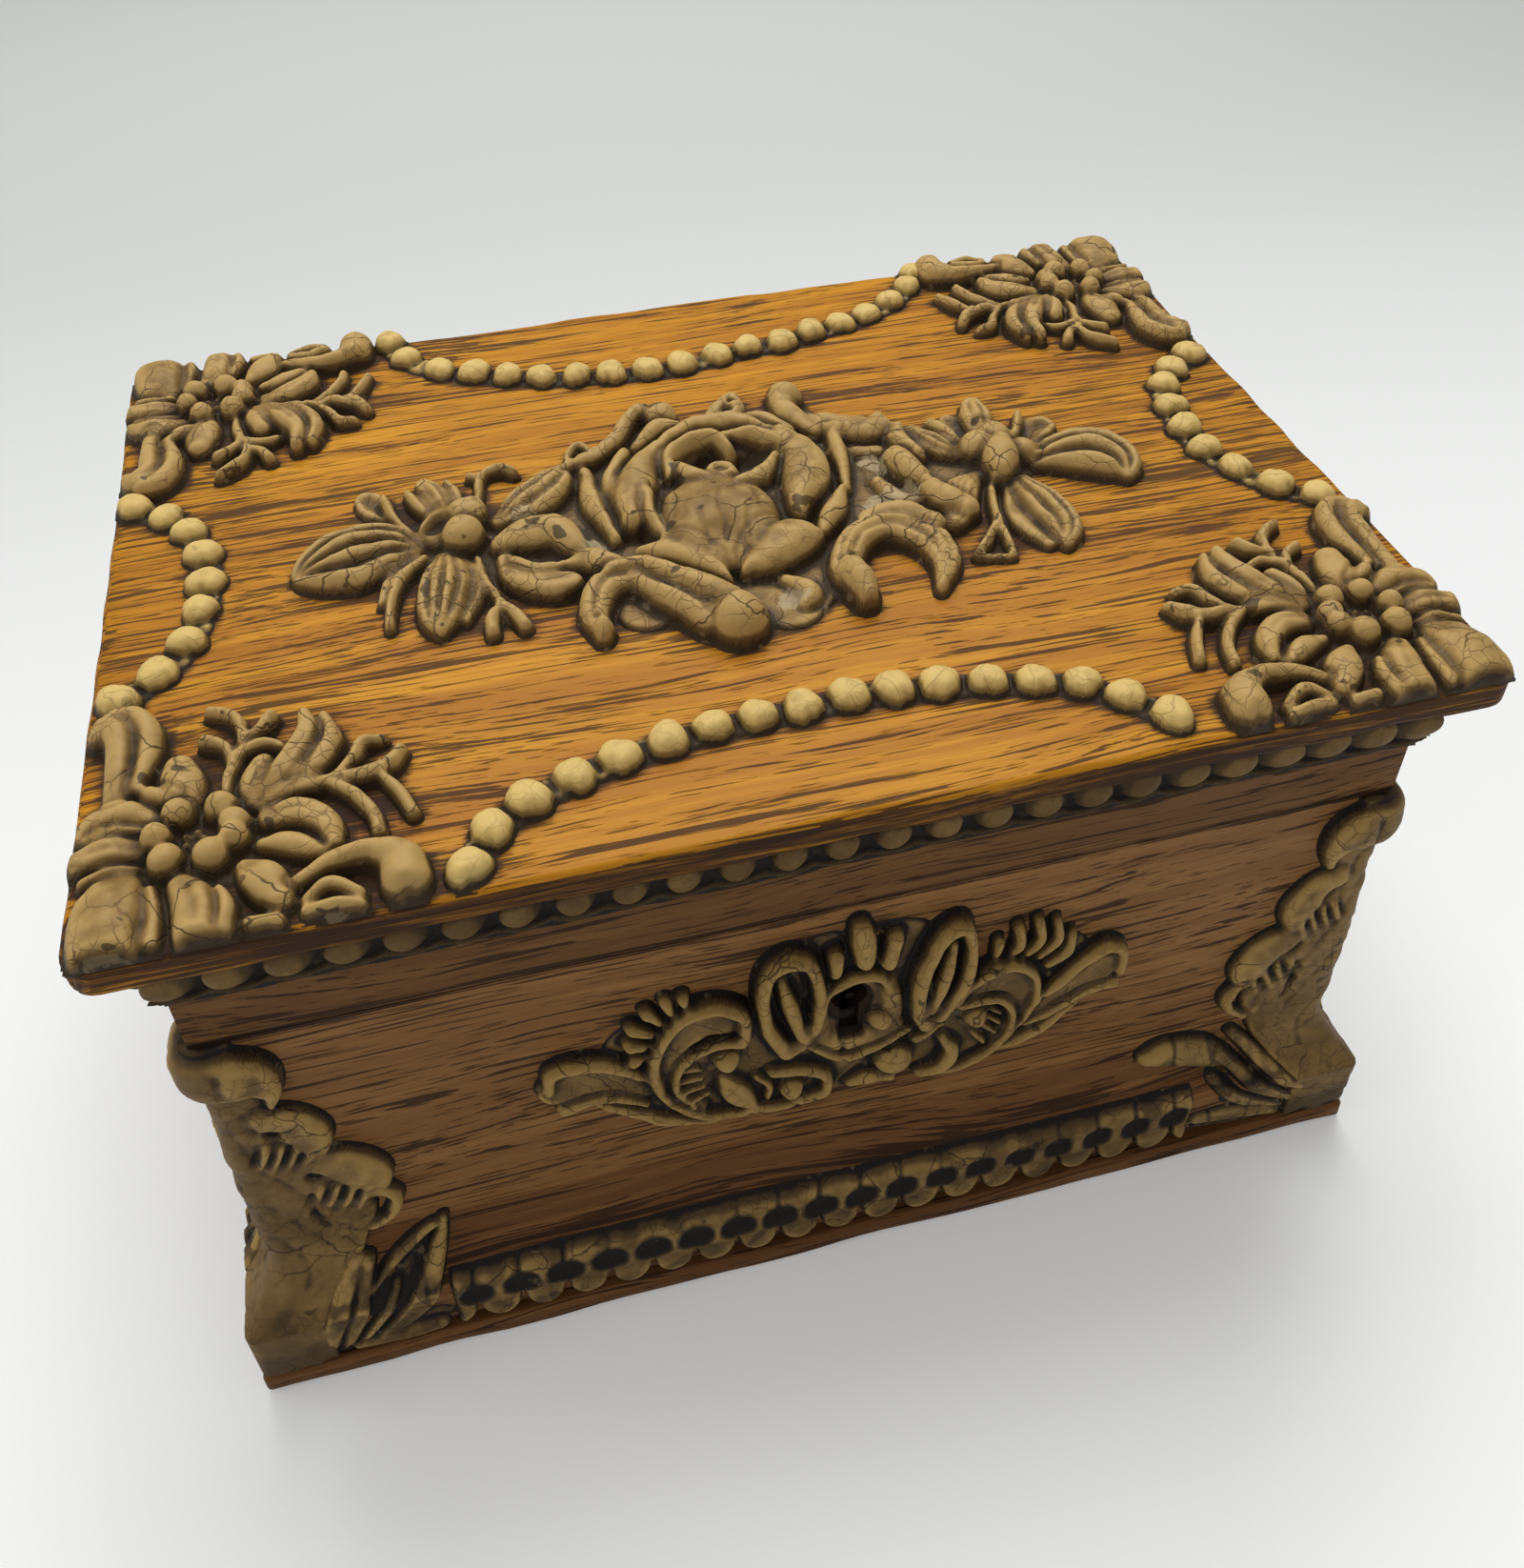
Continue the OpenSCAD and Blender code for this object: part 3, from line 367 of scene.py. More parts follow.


# Composition ornament. It is pressed from a putty of glue, resin and whiting, glued down while
# soft, then glazed with a dark wash that stays in its hollows and crazes as it dries. The dark
# colour in its hollows and at its feet is that glaze and painted shade together, and the paler
# colour on its ridges is wear and a painted highlight together.
def ornament_group():
    """Colour, roughness and height of old glazed composition, from object coordinates and three
    attributes: hollow is 1 at the bottom of hollows, crest on worn ridges, and bare where the
    glaze has gone from the putty. Hollows take the glaze colour as real glaze and painted shade
    together; ridges take the worn colour as real wear and a painted highlight together."""
    tree, given, out = group(
        "glazed_composition",
        {"Pale": "Color", "Tan": "Color", "Glaze and shade": "Color", "Worn and highlight": "Color", "Crazing": "Float"},
        {"Color": "Color", "Roughness": "Float", "Height": "Float"})
    place = put(tree, "TexCoord").outputs["Object"]
    hollow = put(tree, "Attribute", attribute_name="hollow").outputs["Fac"]
    crest = put(tree, "Attribute", attribute_name="crest").outputs["Fac"]
    patch = noise(tree, place, 55, 5.0, 0.6)
    speck = noise(tree, place, 900, 4.0, 0.7)
    drift = noise(tree, place, 160, 3.0, 0.6)
    wobble = put(tree, "TexNoise", {"Vector": place, "Scale": 120.0, "Detail": 3.0})
    wobble = stretch(tree, wobble.outputs["Color"], (0.006, 0.006, 0.006))
    wander = put(tree, "VectorMath", {0: place, 1: wobble}, operation="ADD").outputs[0]
    wide, fine = (put(tree, "TexVoronoi", {"Vector": wander, "Scale": scale},
                      feature="DISTANCE_TO_EDGE").outputs["Distance"] for scale in (85.0, 260.0))
    wide_mask = window(tree, noise(tree, place, 34, 2.0), 0.44, 0.56)
    fine_mask = window(tree, noise(tree, place, 48, 3.0), 0.44, 0.58)
    crack = math(tree, "MULTIPLY", window(tree, wide, 0.0, 0.024, 1.0, 0.0), wide_mask)
    hair = math(tree, "MULTIPLY", window(tree, fine, 0.0, 0.06, 0.55, 0.0), fine_mask)
    crazed = math(tree, "MULTIPLY", math(tree, "MAXIMUM", crack, hair), given["Crazing"])
    colour = blend(tree, window(tree, patch, 0.35, 0.65), given["Tan"], given["Pale"])
    colour = blend(tree, window(tree, speck, 0.42, 0.66, 0.0, 0.4), colour, given["Tan"])
    # Ridges lighten towards the worn colour: real wear and a painted highlight together.
    rubbed_and_highlit = math(tree, "ADD", crest, math(tree, "MULTIPLY", patch, 0.8))
    colour = blend(tree, window(tree, rubbed_and_highlit, 0.5, 1.2, 0.0, 0.8), colour, given["Worn and highlight"])
    sway = math(tree, "SUBTRACT", drift, 0.5)
    # Hollows darken towards the glaze colour: real glaze and painted shade together.
    depth = math(tree, "ADD", hollow, math(tree, "MULTIPLY", sway, 0.6))
    thin = window(tree, depth, 0.0, 0.42, 0.0, 0.85)
    colour = blend(tree, thin, colour, blend(tree, 0.6, given["Tan"], given["Glaze and shade"]))
    chip = math(tree, "MULTIPLY", window(tree, noise(tree, place, 120, 2.0), 0.68, 0.70, 0.0, 0.8),
                given["Crazing"])
    colour = blend(tree, chip, colour, given["Glaze and shade"])
    thick = window(tree, depth, 0.46, 0.9)
    thick = math(tree, "MAXIMUM", thick, math(tree, "MULTIPLY", crazed, 0.9))
    colour = blend(tree, thick, colour, given["Glaze and shade"])
    bare = put(tree, "Attribute", attribute_name="bare").outputs["Fac"]
    bare = math(tree, "ADD", bare, math(tree, "MULTIPLY", sway, 1.6))
    bare = math(tree, "SUBTRACT", window(tree, bare, 0.55, 0.75, 0.0, 0.75), crazed, clamp=True)
    colour = blend(tree, bare, colour, (0.42, 0.33, 0.19, 1))
    chalk = math(tree, "MULTIPLY", window(tree, noise(tree, place, 190, 3.0), 0.62, 0.70, 0.0, 0.3),
                 window(tree, hollow, 0.45, 0.7))
    chalk = math(tree, "MULTIPLY", chalk, given["Crazing"])
    colour = blend(tree, chalk, colour, (0.40, 0.30, 0.16, 1))
    tree.links.new(colour, out["Color"])
    rough = math(tree, "ADD", 0.4, math(tree, "MULTIPLY", speck, 0.3))
    rough = math(tree, "ADD", rough, math(tree, "MULTIPLY", thick, 0.1))
    tree.links.new(rough, out["Roughness"])
    height = math(tree, "SUBTRACT", math(tree, "MULTIPLY", speck, 0.35), crazed)
    height = math(tree, "ADD", height, math(tree, "MULTIPLY", drift, 0.8))
    tree.links.new(height, out["Height"])
    return tree


ORNAMENT = ornament_group()


def composition(name, pale, tan, worn, glaze_and_shade, crazing=1.0):
    """A glazed composition material with its own colours."""
    made, tree, shader = new_finish(name)
    # The worn colour, on ridges, is also a painted highlight; the glaze_and_shade colour, in
    # hollows, is also painted shade.
    paste = put(tree, "Group", {"Pale": (*pale, 1), "Tan": (*tan, 1), "Worn and highlight": (*worn, 1),
                                "Glaze and shade": (*glaze_and_shade, 1), "Crazing": crazing}, node_tree=ORNAMENT)
    tree.links.new(paste.outputs["Color"], shader.inputs["Base Color"])
    tree.links.new(paste.outputs["Roughness"], shader.inputs["Roughness"])
    shader.inputs["Specular IOR Level"].default_value = 0.22
    emboss(tree, shader, paste.outputs["Height"], 0.5, 0.0004)
    return made


lid_paste = composition("lid_composition", (0.335, 0.205, 0.060), (0.20, 0.116, 0.031),
                        (0.52, 0.34, 0.115), (0.040, 0.025, 0.011))
bead_paste = composition("bead_composition", (0.60, 0.415, 0.120), (0.42, 0.275, 0.075),
                         (0.70, 0.50, 0.17), (0.034, 0.022, 0.011), 0.35)
case_paste = composition("case_composition", (0.25, 0.154, 0.048), (0.145, 0.084, 0.025),
                         (0.46, 0.295, 0.088), (0.012, 0.009, 0.007), 0.9)
# The crown's paste is a darker copy of the same composition: painted shade under the lid's
# overhang.
crown_paste_in_shade = composition("crown_composition_shaded", (0.21, 0.128, 0.036), (0.11, 0.063, 0.017),
                          (0.31, 0.20, 0.058), (0.012, 0.009, 0.007), 0.2)


def soften(field, cells):
    """The field blurred by a round bell of the given width in cells, through its spectrum."""
    pad = int(3 * cells) + 1
    wide = np.pad(field, pad, mode="edge")
    fy = np.fft.fftfreq(wide.shape[0])[:, None]
    fx = np.fft.rfftfreq(wide.shape[1])[None, :]
    bell = np.exp(-2 * (np.pi * cells) ** 2 * (fx ** 2 + fy ** 2))
    return np.fft.irfft2(np.fft.rfft2(wide) * bell, s=wide.shape)[pad:-pad, pad:-pad]


def lumps(shape, cells, seed):
    """Smooth random hills of one width, with a spread of one."""
    field = soften(np.random.default_rng(seed).standard_normal(shape), cells)
    return field / field.std()


class Relief:
    """A sheet of moulded ornament: its height h over x and y on a grid, in millimetres. Parts are
    laid over each other, each pressing a groove round itself into what lies under it."""

    def __init__(self, x0, x1, y0, y1, step):
        self.step = step
        self.x, self.y = np.meshgrid(np.arange(x0, x1 + step, step), np.arange(y0, y1 + step, step))
        self.h = np.full(self.x.shape, -9.0)

    def lay(self, rows, cols, z, gap=0.9):
        """The higher of what is there, less a groove within 1 mm of the part, and the part."""
        here = self.h[rows, cols]
        groove = gap * np.exp(-(np.minimum(z, 0) / 0.8) ** 2) * (z < 0) * (here > 0)
        self.h[rows, cols] = np.maximum(here - groove, z)

    def near(self, x0, x1, y0, y1):
        """The slices of the grid that cover a box."""
        gx, gy = self.x[0], self.y[:, 0]
        return (slice(*np.searchsorted(gy, [y0, y1])), slice(*np.searchsorted(gx, [x0, x1])))

    def leaf(self, points, ribs=0, rib=0.35, cup=0.0, base=0.0, power=0.4, gap=0.9):
        """A leaf, stem, scroll or roll along a smooth curve. points are (x, y, half width, height).
        With u the distance from the curve over the half width, the height is
        h (1 - u^2)^power, hollowed by cup in the middle and cut into ribs by |sin|."""
        p = np.asarray(points, float)
        if len(p) == 2:
            p = np.array([p[0], (p[0] + p[1]) / 2, p[1]])
        t = np.linspace(0, len(p) - 1, 14 * (len(p) - 1) + 1)
        i = np.minimum(t.astype(int), len(p) - 2)
        f = (t - i)[:, None]
        ends = np.vstack([2 * p[0] - p[1], p, 2 * p[-1] - p[-2]])
        a, b, c, d = (ends[i + k] for k in range(4))
        q = 0.5 * (2 * b + (c - a) * f + (2 * a - 5 * b + 4 * c - d) * f ** 2
                   + (3 * b - a - 3 * c + d) * f ** 3)
        q[:, 2:] = np.maximum(q[:, 2:], 0.2)
        edge = q[:, 2].max() + 2.5
        rows, cols = self.near(q[:, 0].min() - edge, q[:, 0].max() + edge,
                               q[:, 1].min() - edge, q[:, 1].max() + edge)
        x, y = self.x[rows, cols], self.y[rows, cols]
        start, along = q[:-1], np.diff(q, axis=0)
        length = np.maximum((along[:, :2] ** 2).sum(1), 1e-9)
        dx, dy = x[..., None] - start[:, 0], y[..., None] - start[:, 1]
        f = np.clip((dx * along[:, 0] + dy * along[:, 1]) / length, 0, 1)
        ox, oy = dx - f * along[:, 0], dy - f * along[:, 1]
        width = start[:, 2] + f * along[:, 2]
        u = np.sqrt(ox ** 2 + oy ** 2) / width
        best = u.argmin(-1)[..., None]
        pick = lambda field: np.take_along_axis(field, best, -1)[..., 0]
        turn = np.sign(along[:, 0] * oy - along[:, 1] * ox)
        u, side, width = pick(u), pick(turn), pick(width)
        high = pick(start[:, 3] + f * along[:, 3])
        inside = np.clip(1 - u ** 2, 0, 1)
        z = high * inside ** power * (1 - cup * inside ** 1.5)
        if ribs:
            wave = np.abs(np.sin(np.pi * ribs * (side * u + 1) / 2)) ** 0.6
            z = z * (1 - rib * (1 - wave) * np.clip(1 - u ** 6, 0, 1))
        z = np.where(u < 1, z + base, base - (5 if base > 0 else 1) * (u - 1) * width)
        self.lay(rows, cols, z, gap)
        return self

    def berry(self, x, y, r, high, base=0.0, gap=0.9, flat=0.5):
        """A round lump: height (1 - (d / r)^2)^flat."""
        rows, cols = self.near(x - r - 2, x + r + 2, y - r - 2, y + r + 2)
        d = np.hypot(self.x[rows, cols] - x, self.y[rows, cols] - y) / r
        z = np.where(d < 1, base + high * np.clip(1 - d ** 2, 0, 1) ** flat, base - (d - 1) * r
                     * (5 if base > 0 else 1))
        self.lay(rows, cols, z, gap)
        return self

    def score(self, points, r=0.5, deep=1.0):
        """A narrow groove pressed in along a line of points, shallower towards its ends."""
        for k, ((x0, y0), (x1, y1)) in enumerate(zip(points, points[1:])):
            rows, cols = self.near(min(x0, x1) - 3 * r, max(x0, x1) + 3 * r,
                                   min(y0, y1) - 3 * r, max(y0, y1) + 3 * r)
            dx, dy = self.x[rows, cols] - x0, self.y[rows, cols] - y0
            size = max(np.hypot(x1 - x0, y1 - y0), 1e-6)
            f = (dx * (x1 - x0) + dy * (y1 - y0)) / size ** 2
            f = np.where((f > 1) & (k < len(points) - 2), 9.0, f)
            held = np.clip(f, 0, 1)
            gap = np.hypot(dx - held * (x1 - x0), dy - held * (y1 - y0))
            cut = deep * np.exp(-(gap / r) ** 2) * (self.h[rows, cols] > 0)
            self.h[rows, cols] -= cut * (f < 9)
        return self

    def pit(self, x, y, r, deep):
        """A round hole pressed in: a bell of the given depth."""
        rows, cols = self.near(x - 3 * r, x + 3 * r, y - 3 * r, y + 3 * r)
        d2 = ((self.x[rows, cols] - x) ** 2 + (self.y[rows, cols] - y) ** 2) / r ** 2
        self.h[rows, cols] -= deep * np.exp(-d2 ** 2) * (self.h[rows, cols] > 0)
        return self

    def finish(self, name, place, seed, rough=0.1, sink=0.5, limit=99.0, wash_and_shade=0.0, bare=None):
        """The closed mesh. The hills are roughened by hand-pressed unevenness, the attribute hollow
        compares each height with its blurred neighbourhood, and cells wholly below -sink go."""
        step = self.step
        wave = (lumps(self.h.shape, 1.6 / step, seed) * rough
                + lumps(self.h.shape, 0.7 / step, seed + 1) * rough * 0.45)
        h = np.where(self.h > 0, self.h + wave * np.clip(self.h, 0, 1), self.h)
        h = np.minimum(soften(np.maximum(h, -2 * sink), 0.42 / step), limit)
        solid = np.maximum(h, 0)
        close = (soften(solid, 0.9 / step) - solid) * 1.1
        far = (soften(solid, 2.6 / step) - solid) * 0.55
        # foot and hollow darken the ornament's feet, where it meets the ground, and its hollows:
        # partly the real glaze, partly painted shade.
        foot = np.clip(1 - h / 0.7, 0, 1) * 0.85
        hollow = np.maximum(close, 0) + np.maximum(far, 0) + foot + wash_and_shade
        hollow = np.clip(soften(hollow, 0.35 / step), 0, 1)
        # crest lightens convex ridges: partly real wear, partly a painted highlight.
        crest = (solid - soften(solid, 1.2 / step)) * 0.9
        crest = crest + (solid - soften(solid, 3.2 / step)) * 0.3
        crest = np.clip(soften(crest, 0.3 / step), 0, 1)
        keep = h > -sink
        keep = keep[:-1, :-1] | keep[1:, :-1] | keep[:-1, 1:] | keep[1:, 1:]
        for _ in range(6):
            full = np.pad(keep, 1)
            a, b, c, d = full[:-1, :-1], full[:-1, 1:], full[1:, :-1], full[1:, 1:]
            cross = (a & d & ~b & ~c) | (b & c & ~a & ~d)
            keep |= cross[:-1, :-1] | cross[1:, 1:]
        full = np.pad(keep, 1)
        used = full[:-1, :-1] | full[1:, :-1] | full[:-1, 1:] | full[1:, 1:]
        number = np.full(used.shape, -1)
        number[used] = np.arange(used.sum())
        count = used.sum()
        r, c = np.nonzero(keep)
        top = np.stack([number[r, c], number[r, c + 1], number[r + 1, c + 1], number[r + 1, c]], -1)
        quads = [top, top[:, ::-1] + count]
        sides = ((0, -1, (0, 0), (1, 0)), (0, 1, (1, 1), (0, 1)),
                 (-1, 0, (0, 1), (0, 0)), (1, 0, (1, 0), (1, 1)))
        for dr, dc, first, second in sides:
            open_side = ~full[r + 1 + dr, c + 1 + dc]
            a = number[r[open_side] + first[0], c[open_side] + first[1]]
            b = number[r[open_side] + second[0], c[open_side] + second[1]]
            quads.append(np.stack([a, b, b + count, a + count], -1))
        x, y, z = self.x[used], self.y[used], np.maximum(h, -sink)[used]
        points = np.vstack([place(x, y, z), place(x, y, np.full(count, -sink - 0.25))])
        marks = {"hollow": np.concatenate([hollow[used], np.ones(count)]),
                 "crest": np.concatenate([crest[used], np.zeros(count)])}
        if bare is not None:
            marks["bare"] = np.concatenate([bare[used], np.zeros(count)])
        return write_mesh(name, points, np.concatenate(quads), marks=marks)


# Base beading. A narrow strip follows the foot of each plinth face: a plain band above, a row of
# oval hollows with scallops under them, and a fan of leaves at each end. Nothing on the case
# stands out from its walls by more than CASE_REACH.
STRIP_PITCH, STRIP_END, HOLLOW_Z = 11.3, 40.0, 22.0
BAND_TOP, SCALLOP_TOP, SCALLOP_DROP = 29.6, 16.4, 8.2
CASE_REACH = 11.9


def beading(side, seed):
    """The strip over s along the side and z up. Its lower edge is a row of half rounds, each over
    one pitch, and each hollow is an oval dish with a raised rim, cut through to the glaze."""
    quarter, half, face = SIDES[side]
    count = int((2 * half - 2 * STRIP_END) // STRIP_PITCH)
    reach = count * STRIP_PITCH / 2
    strip = Relief(-half, half, 7.6, 48, 0.45)
    s, z = strip.x, strip.y
    u = (s + reach) / STRIP_PITCH
    place_in_row = np.round(u)
    u = (u - place_in_row) * STRIP_PITCH
    uneven = np.sin(place_in_row * 12.9) * 0.6
    between_hollows = STRIP_PITCH / 2 - np.abs(u)
    arc = np.clip(1 - (between_hollows / (STRIP_PITCH * 0.47)) ** 2, 0, 1)
    edge = SCALLOP_TOP - SCALLOP_DROP * np.sqrt(arc)
    band = np.minimum(z - edge, BAND_TOP + 0.3 * uneven - z)
    inside = np.minimum(band, reach + 5.6 - np.abs(s))
    body = np.where(inside > 0, 1.85 * np.clip(inside / 1.6, 0, 1) ** 0.5, inside)
    turn = z - HOLLOW_Z - uneven * 0.7
    oval = (np.abs(u - uneven * 0.7) / (4.4 + uneven * 0.6)) ** 3 + (np.abs(turn) / 4.2) ** 3
    dish = 1.7 * np.clip(1 - oval ** 2, 0, 1)
    split = 0.55 + 0.45 * np.sin(place_in_row * 7.1 + (z > HOLLOW_Z))
    cut = 1.1 * split * np.exp(-((u - uneven * 0.7 - 0.3 * np.sin(z * 0.9)) / 0.3) ** 2)
    crease = 0.3 * np.exp(-((z - 17.0 - 0.3 * uneven) / 0.6) ** 2)
    strip.h = np.where(inside > 0, np.maximum(body - dish - cut - crease, 0.1), inside)
    fan = (((133, 13, 2, 1.4), (129.4, 26, 3.2, 3.6), (122, 38, 2.4, 4)),
           ((129.6, 11.6, 1.4, 1.6), (124.6, 24, 2, 4), (119.4, 37, 1.6, 4)),
           ((126.6, 11, 1, 1.6), (120, 21, 1.3, 3.2), (114, 30, 1, 3)),
           ((124, 10, 1.6, 1.6), (116.6, 16.4, 2.4, 3.2), (108.8, 25, 3.2, 4.6),
            (102.8, 36, 2.4, 4.4), (100, 45, 1.3, 3)),
           ((120, 30, 0.9, 2.6), (111, 37.4, 1.3, 3.6), (102.6, 43.2, 1.2, 3.4)),
           ((127, 10.4, 1.8, 1.6), (116, 11, 3.4, 1.9), (107, 11.4, 3.2, 1.9)))
    other = (((113, 34, 2.6, 3), (104, 38.6, 4.6, 4.6), (94, 41, 4.6, 5), (88.6, 40, 2.6, 4)),
             ((135, 21, 1.4, 2), (124, 31, 2.2, 4), (114, 42, 1.8, 3.4)),
             ((132, 17, 1.4, 1.8), (120, 27, 2.2, 4), (110, 37, 1.8, 3.6)),
             ((130, 13, 1.4, 1.6), (118, 21, 2, 3), (108, 30, 1.8, 3)),
             ((129, 11, 1.6, 1.6), (116, 15.6, 3.4, 1.9), (104, 17, 2.6, 1.8)))
    ground = (((130, 12, 4, 0.5), (119, 24, 8, 0.6), (108, 36, 4, 0.5)),
              ((130, 11, 3, 0.5), (118, 14, 5, 0.6), (106, 15, 4, 0.5)))
    for flip in (-1, 1):
        ends = lambda points: [(flip * (x + half - CASE_W / 2), z0, w, h) for x, z0, w, h in points]
        for points in ground:
            strip.leaf(ends(points), power=0.2)
        for points in other if flip > 0 and side == "front" else fan:
            strip.leaf(ends(points), ribs=2 if len(points) < 4 else 1, rib=0.3, gap=1.2)
    # The oval hollows and the cuts in them are darkened, partly real glaze and partly painted
    # shade; a band along the top edge and random patches are darkened as glaze.
    wash_and_shade = 1.1 * np.clip(1.35 - oval, 0, 1) ** 0.5 * (np.abs(s) < reach + 5) + 1.1 * cut
    wash_and_shade = wash_and_shade + 0.45 * np.clip((z - 27.4) / 1.6, 0, 1) * (z < 30)
    wash_and_shade = wash_and_shade + 0.3 * np.clip(lumps(z.shape, 4, seed), 0, 1)
    place = lambda a, b, c: turned(np.stack([a, -(face + cove(b) + c), b], -1), quarter)
    return strip.finish("base_beading_%s_paste" % side, place, seed, rough=0.07,
                        limit=CASE_REACH - cove(z), wash_and_shade=wash_and_shade)


for number, side in enumerate(SIDES):
    seat(beading(side, 20 + number), "case", "base_beading_" + side, case_paste)


# Corner leaves. A tall curling leaf is bent round each corner of the case from just under the
# seam down to the base, lobed on both faces, with its top curl standing proud.
CORNERS = {"front_left": (-1, -1), "front_right": (1, -1), "back_right": (1, 1),
           "back_left": (-1, 1)}


def corner_leaf(corner, seed):
    """The leaf over a, the distance round the corner from its arris, and z up. Both halves are
    the same drawing of |a|; the leaf turns the arris, also the plinth's, on a small arc."""
    sheet = Relief(-36, 36, 8, 129.5, 0.5)
    work = Relief(0, 36, 8, 129.5, 0.5)
    work.leaf([(0, 129, 8, 2.4), (0, 113, 8, 1.7), (1, 104, 10, 1.8), (3, 92, 13, 2.4),
               (4, 78, 17, 3.0), (5, 62, 21, 3.1), (4, 50, 18, 2.8), (3, 38, 16.4, 2.5),
               (2, 26, 16, 2.1), (2, 9, 15.6, 1.8)], power=0.16)
    work.leaf([(8, 102, 4, 3.2), (13, 99, 5.4, 4.0), (16.6, 93, 5.4, 4.5), (16.6, 86, 3.4, 3.8)],
              power=0.36, gap=0.5)
    work.leaf([(15.6, 81, 4, 3.6), (21, 78.6, 5.8, 4.4), (25.6, 72.6, 6, 4.8),
               (26.4, 65.6, 3.8, 4.2)], power=0.36, gap=0.5)
    for a, z, size in ((15.6, 88, 1.0), (25, 68, 1.15)):
        for k in range(4):
            x, y = a - 3.1 * k * size, z + 0.9 * k
            work.leaf([(x + 1, y + 2, 1.1, 4.4), (x - 1, y - 3, 1.5, 3.9),
                       (x - 4, y - 9, 1.7, 2.9)], gap=0.35)
            work.score([(x - 1.4, y - 0.4), (x - 3.4, y - 4.4)], 0.5 * size, 1.1)
    work.pit(9.4, 96.6, 1.9, 2.2).pit(14.4, 76.4, 1.9, 2.0)
    work.leaf([(27, 66, 1.6, 3.8), (30.4, 60, 2, 4.4), (28, 53, 1.6, 3.4), (23, 48.4, 1.2, 2.8)])
    work.pit(27, 59.6, 2.2, 1.8)
    for line in (((1, 100), (4, 84), (11, 70), (17, 60)), ((2, 70), (8, 58), (12, 46)),
                 ((1, 56), (5, 44), (8, 34)), ((12, 62), (18, 52)), ((20, 62), (22, 54)),
                 ((4, 108), (6, 98), (5, 90))):
        work.score(line, 0.6, 0.55)
    work.score(((13.4, 69), (11.4, 62), (13.6, 55)), 0.5, 1.6)
    work.leaf([(0, 121, 7.4, 5.4), (6, 121, 7, 6.2), (10.6, 119, 5, 5.6), (12.6, 112.6, 2.6, 4.4),
               (11.4, 107, 1.4, 3)], power=0.26)
    work.score(((3.6, 124), (3.4, 119)), 0.9, 1.0)
    cols = np.round(np.abs(sheet.x[0]) / sheet.step).astype(int)
    sheet.h = work.h[:, np.minimum(cols, work.x.shape[1] - 1)]
    allowed = np.minimum(6.8, CASE_REACH - cove(sheet.y))
    sx, sy = CORNERS[corner]

    def place(a, z, h):
        """Along the front wall for a > 0, along the side wall for a < 0, round an arc between."""
        stand = cove(z)
        arc = 2.6 - 0.18 * stand
        bend = np.clip(a / arc, -np.pi / 4, np.pi / 4)
        rest = a - bend * arc
        angle = np.pi / 4 - bend
        x = -CASE_W / 2 - stand + arc - np.sin(angle) * (arc + h) + np.maximum(rest, 0)
        y = -CASE_D / 2 - stand + arc - np.cos(angle) * (arc + h) - np.minimum(rest, 0)
        return np.stack([-sx * x, -sy * y, z], -1)

    # Darker towards the bottom of the leaf.
    darkened_zones = 0.5 * np.clip((24 - sheet.y) / 14, 0, 1)
    return sheet.finish("corner_leaf_%s_paste" % corner, place, seed, rough=0.19, limit=allowed,
                        sink=0.9, wash_and_shade=darkened_zones)


for number, corner in enumerate(CORNERS):
    piece = corner_leaf(corner, 31 + 3 * number)
    seat(piece, "case", "corner_leaf_" + corner, case_paste)


# Keyhole ornament. A shield with a keyhole sits in the middle of the front under three upright
# petals, between two looped leaves, rolled scrolls, fanned shells and long tails.
KEY_X, KEY_Z, SLOT_W, KEY_DEEP = 4.0, 96.0, 5.0, 13.0


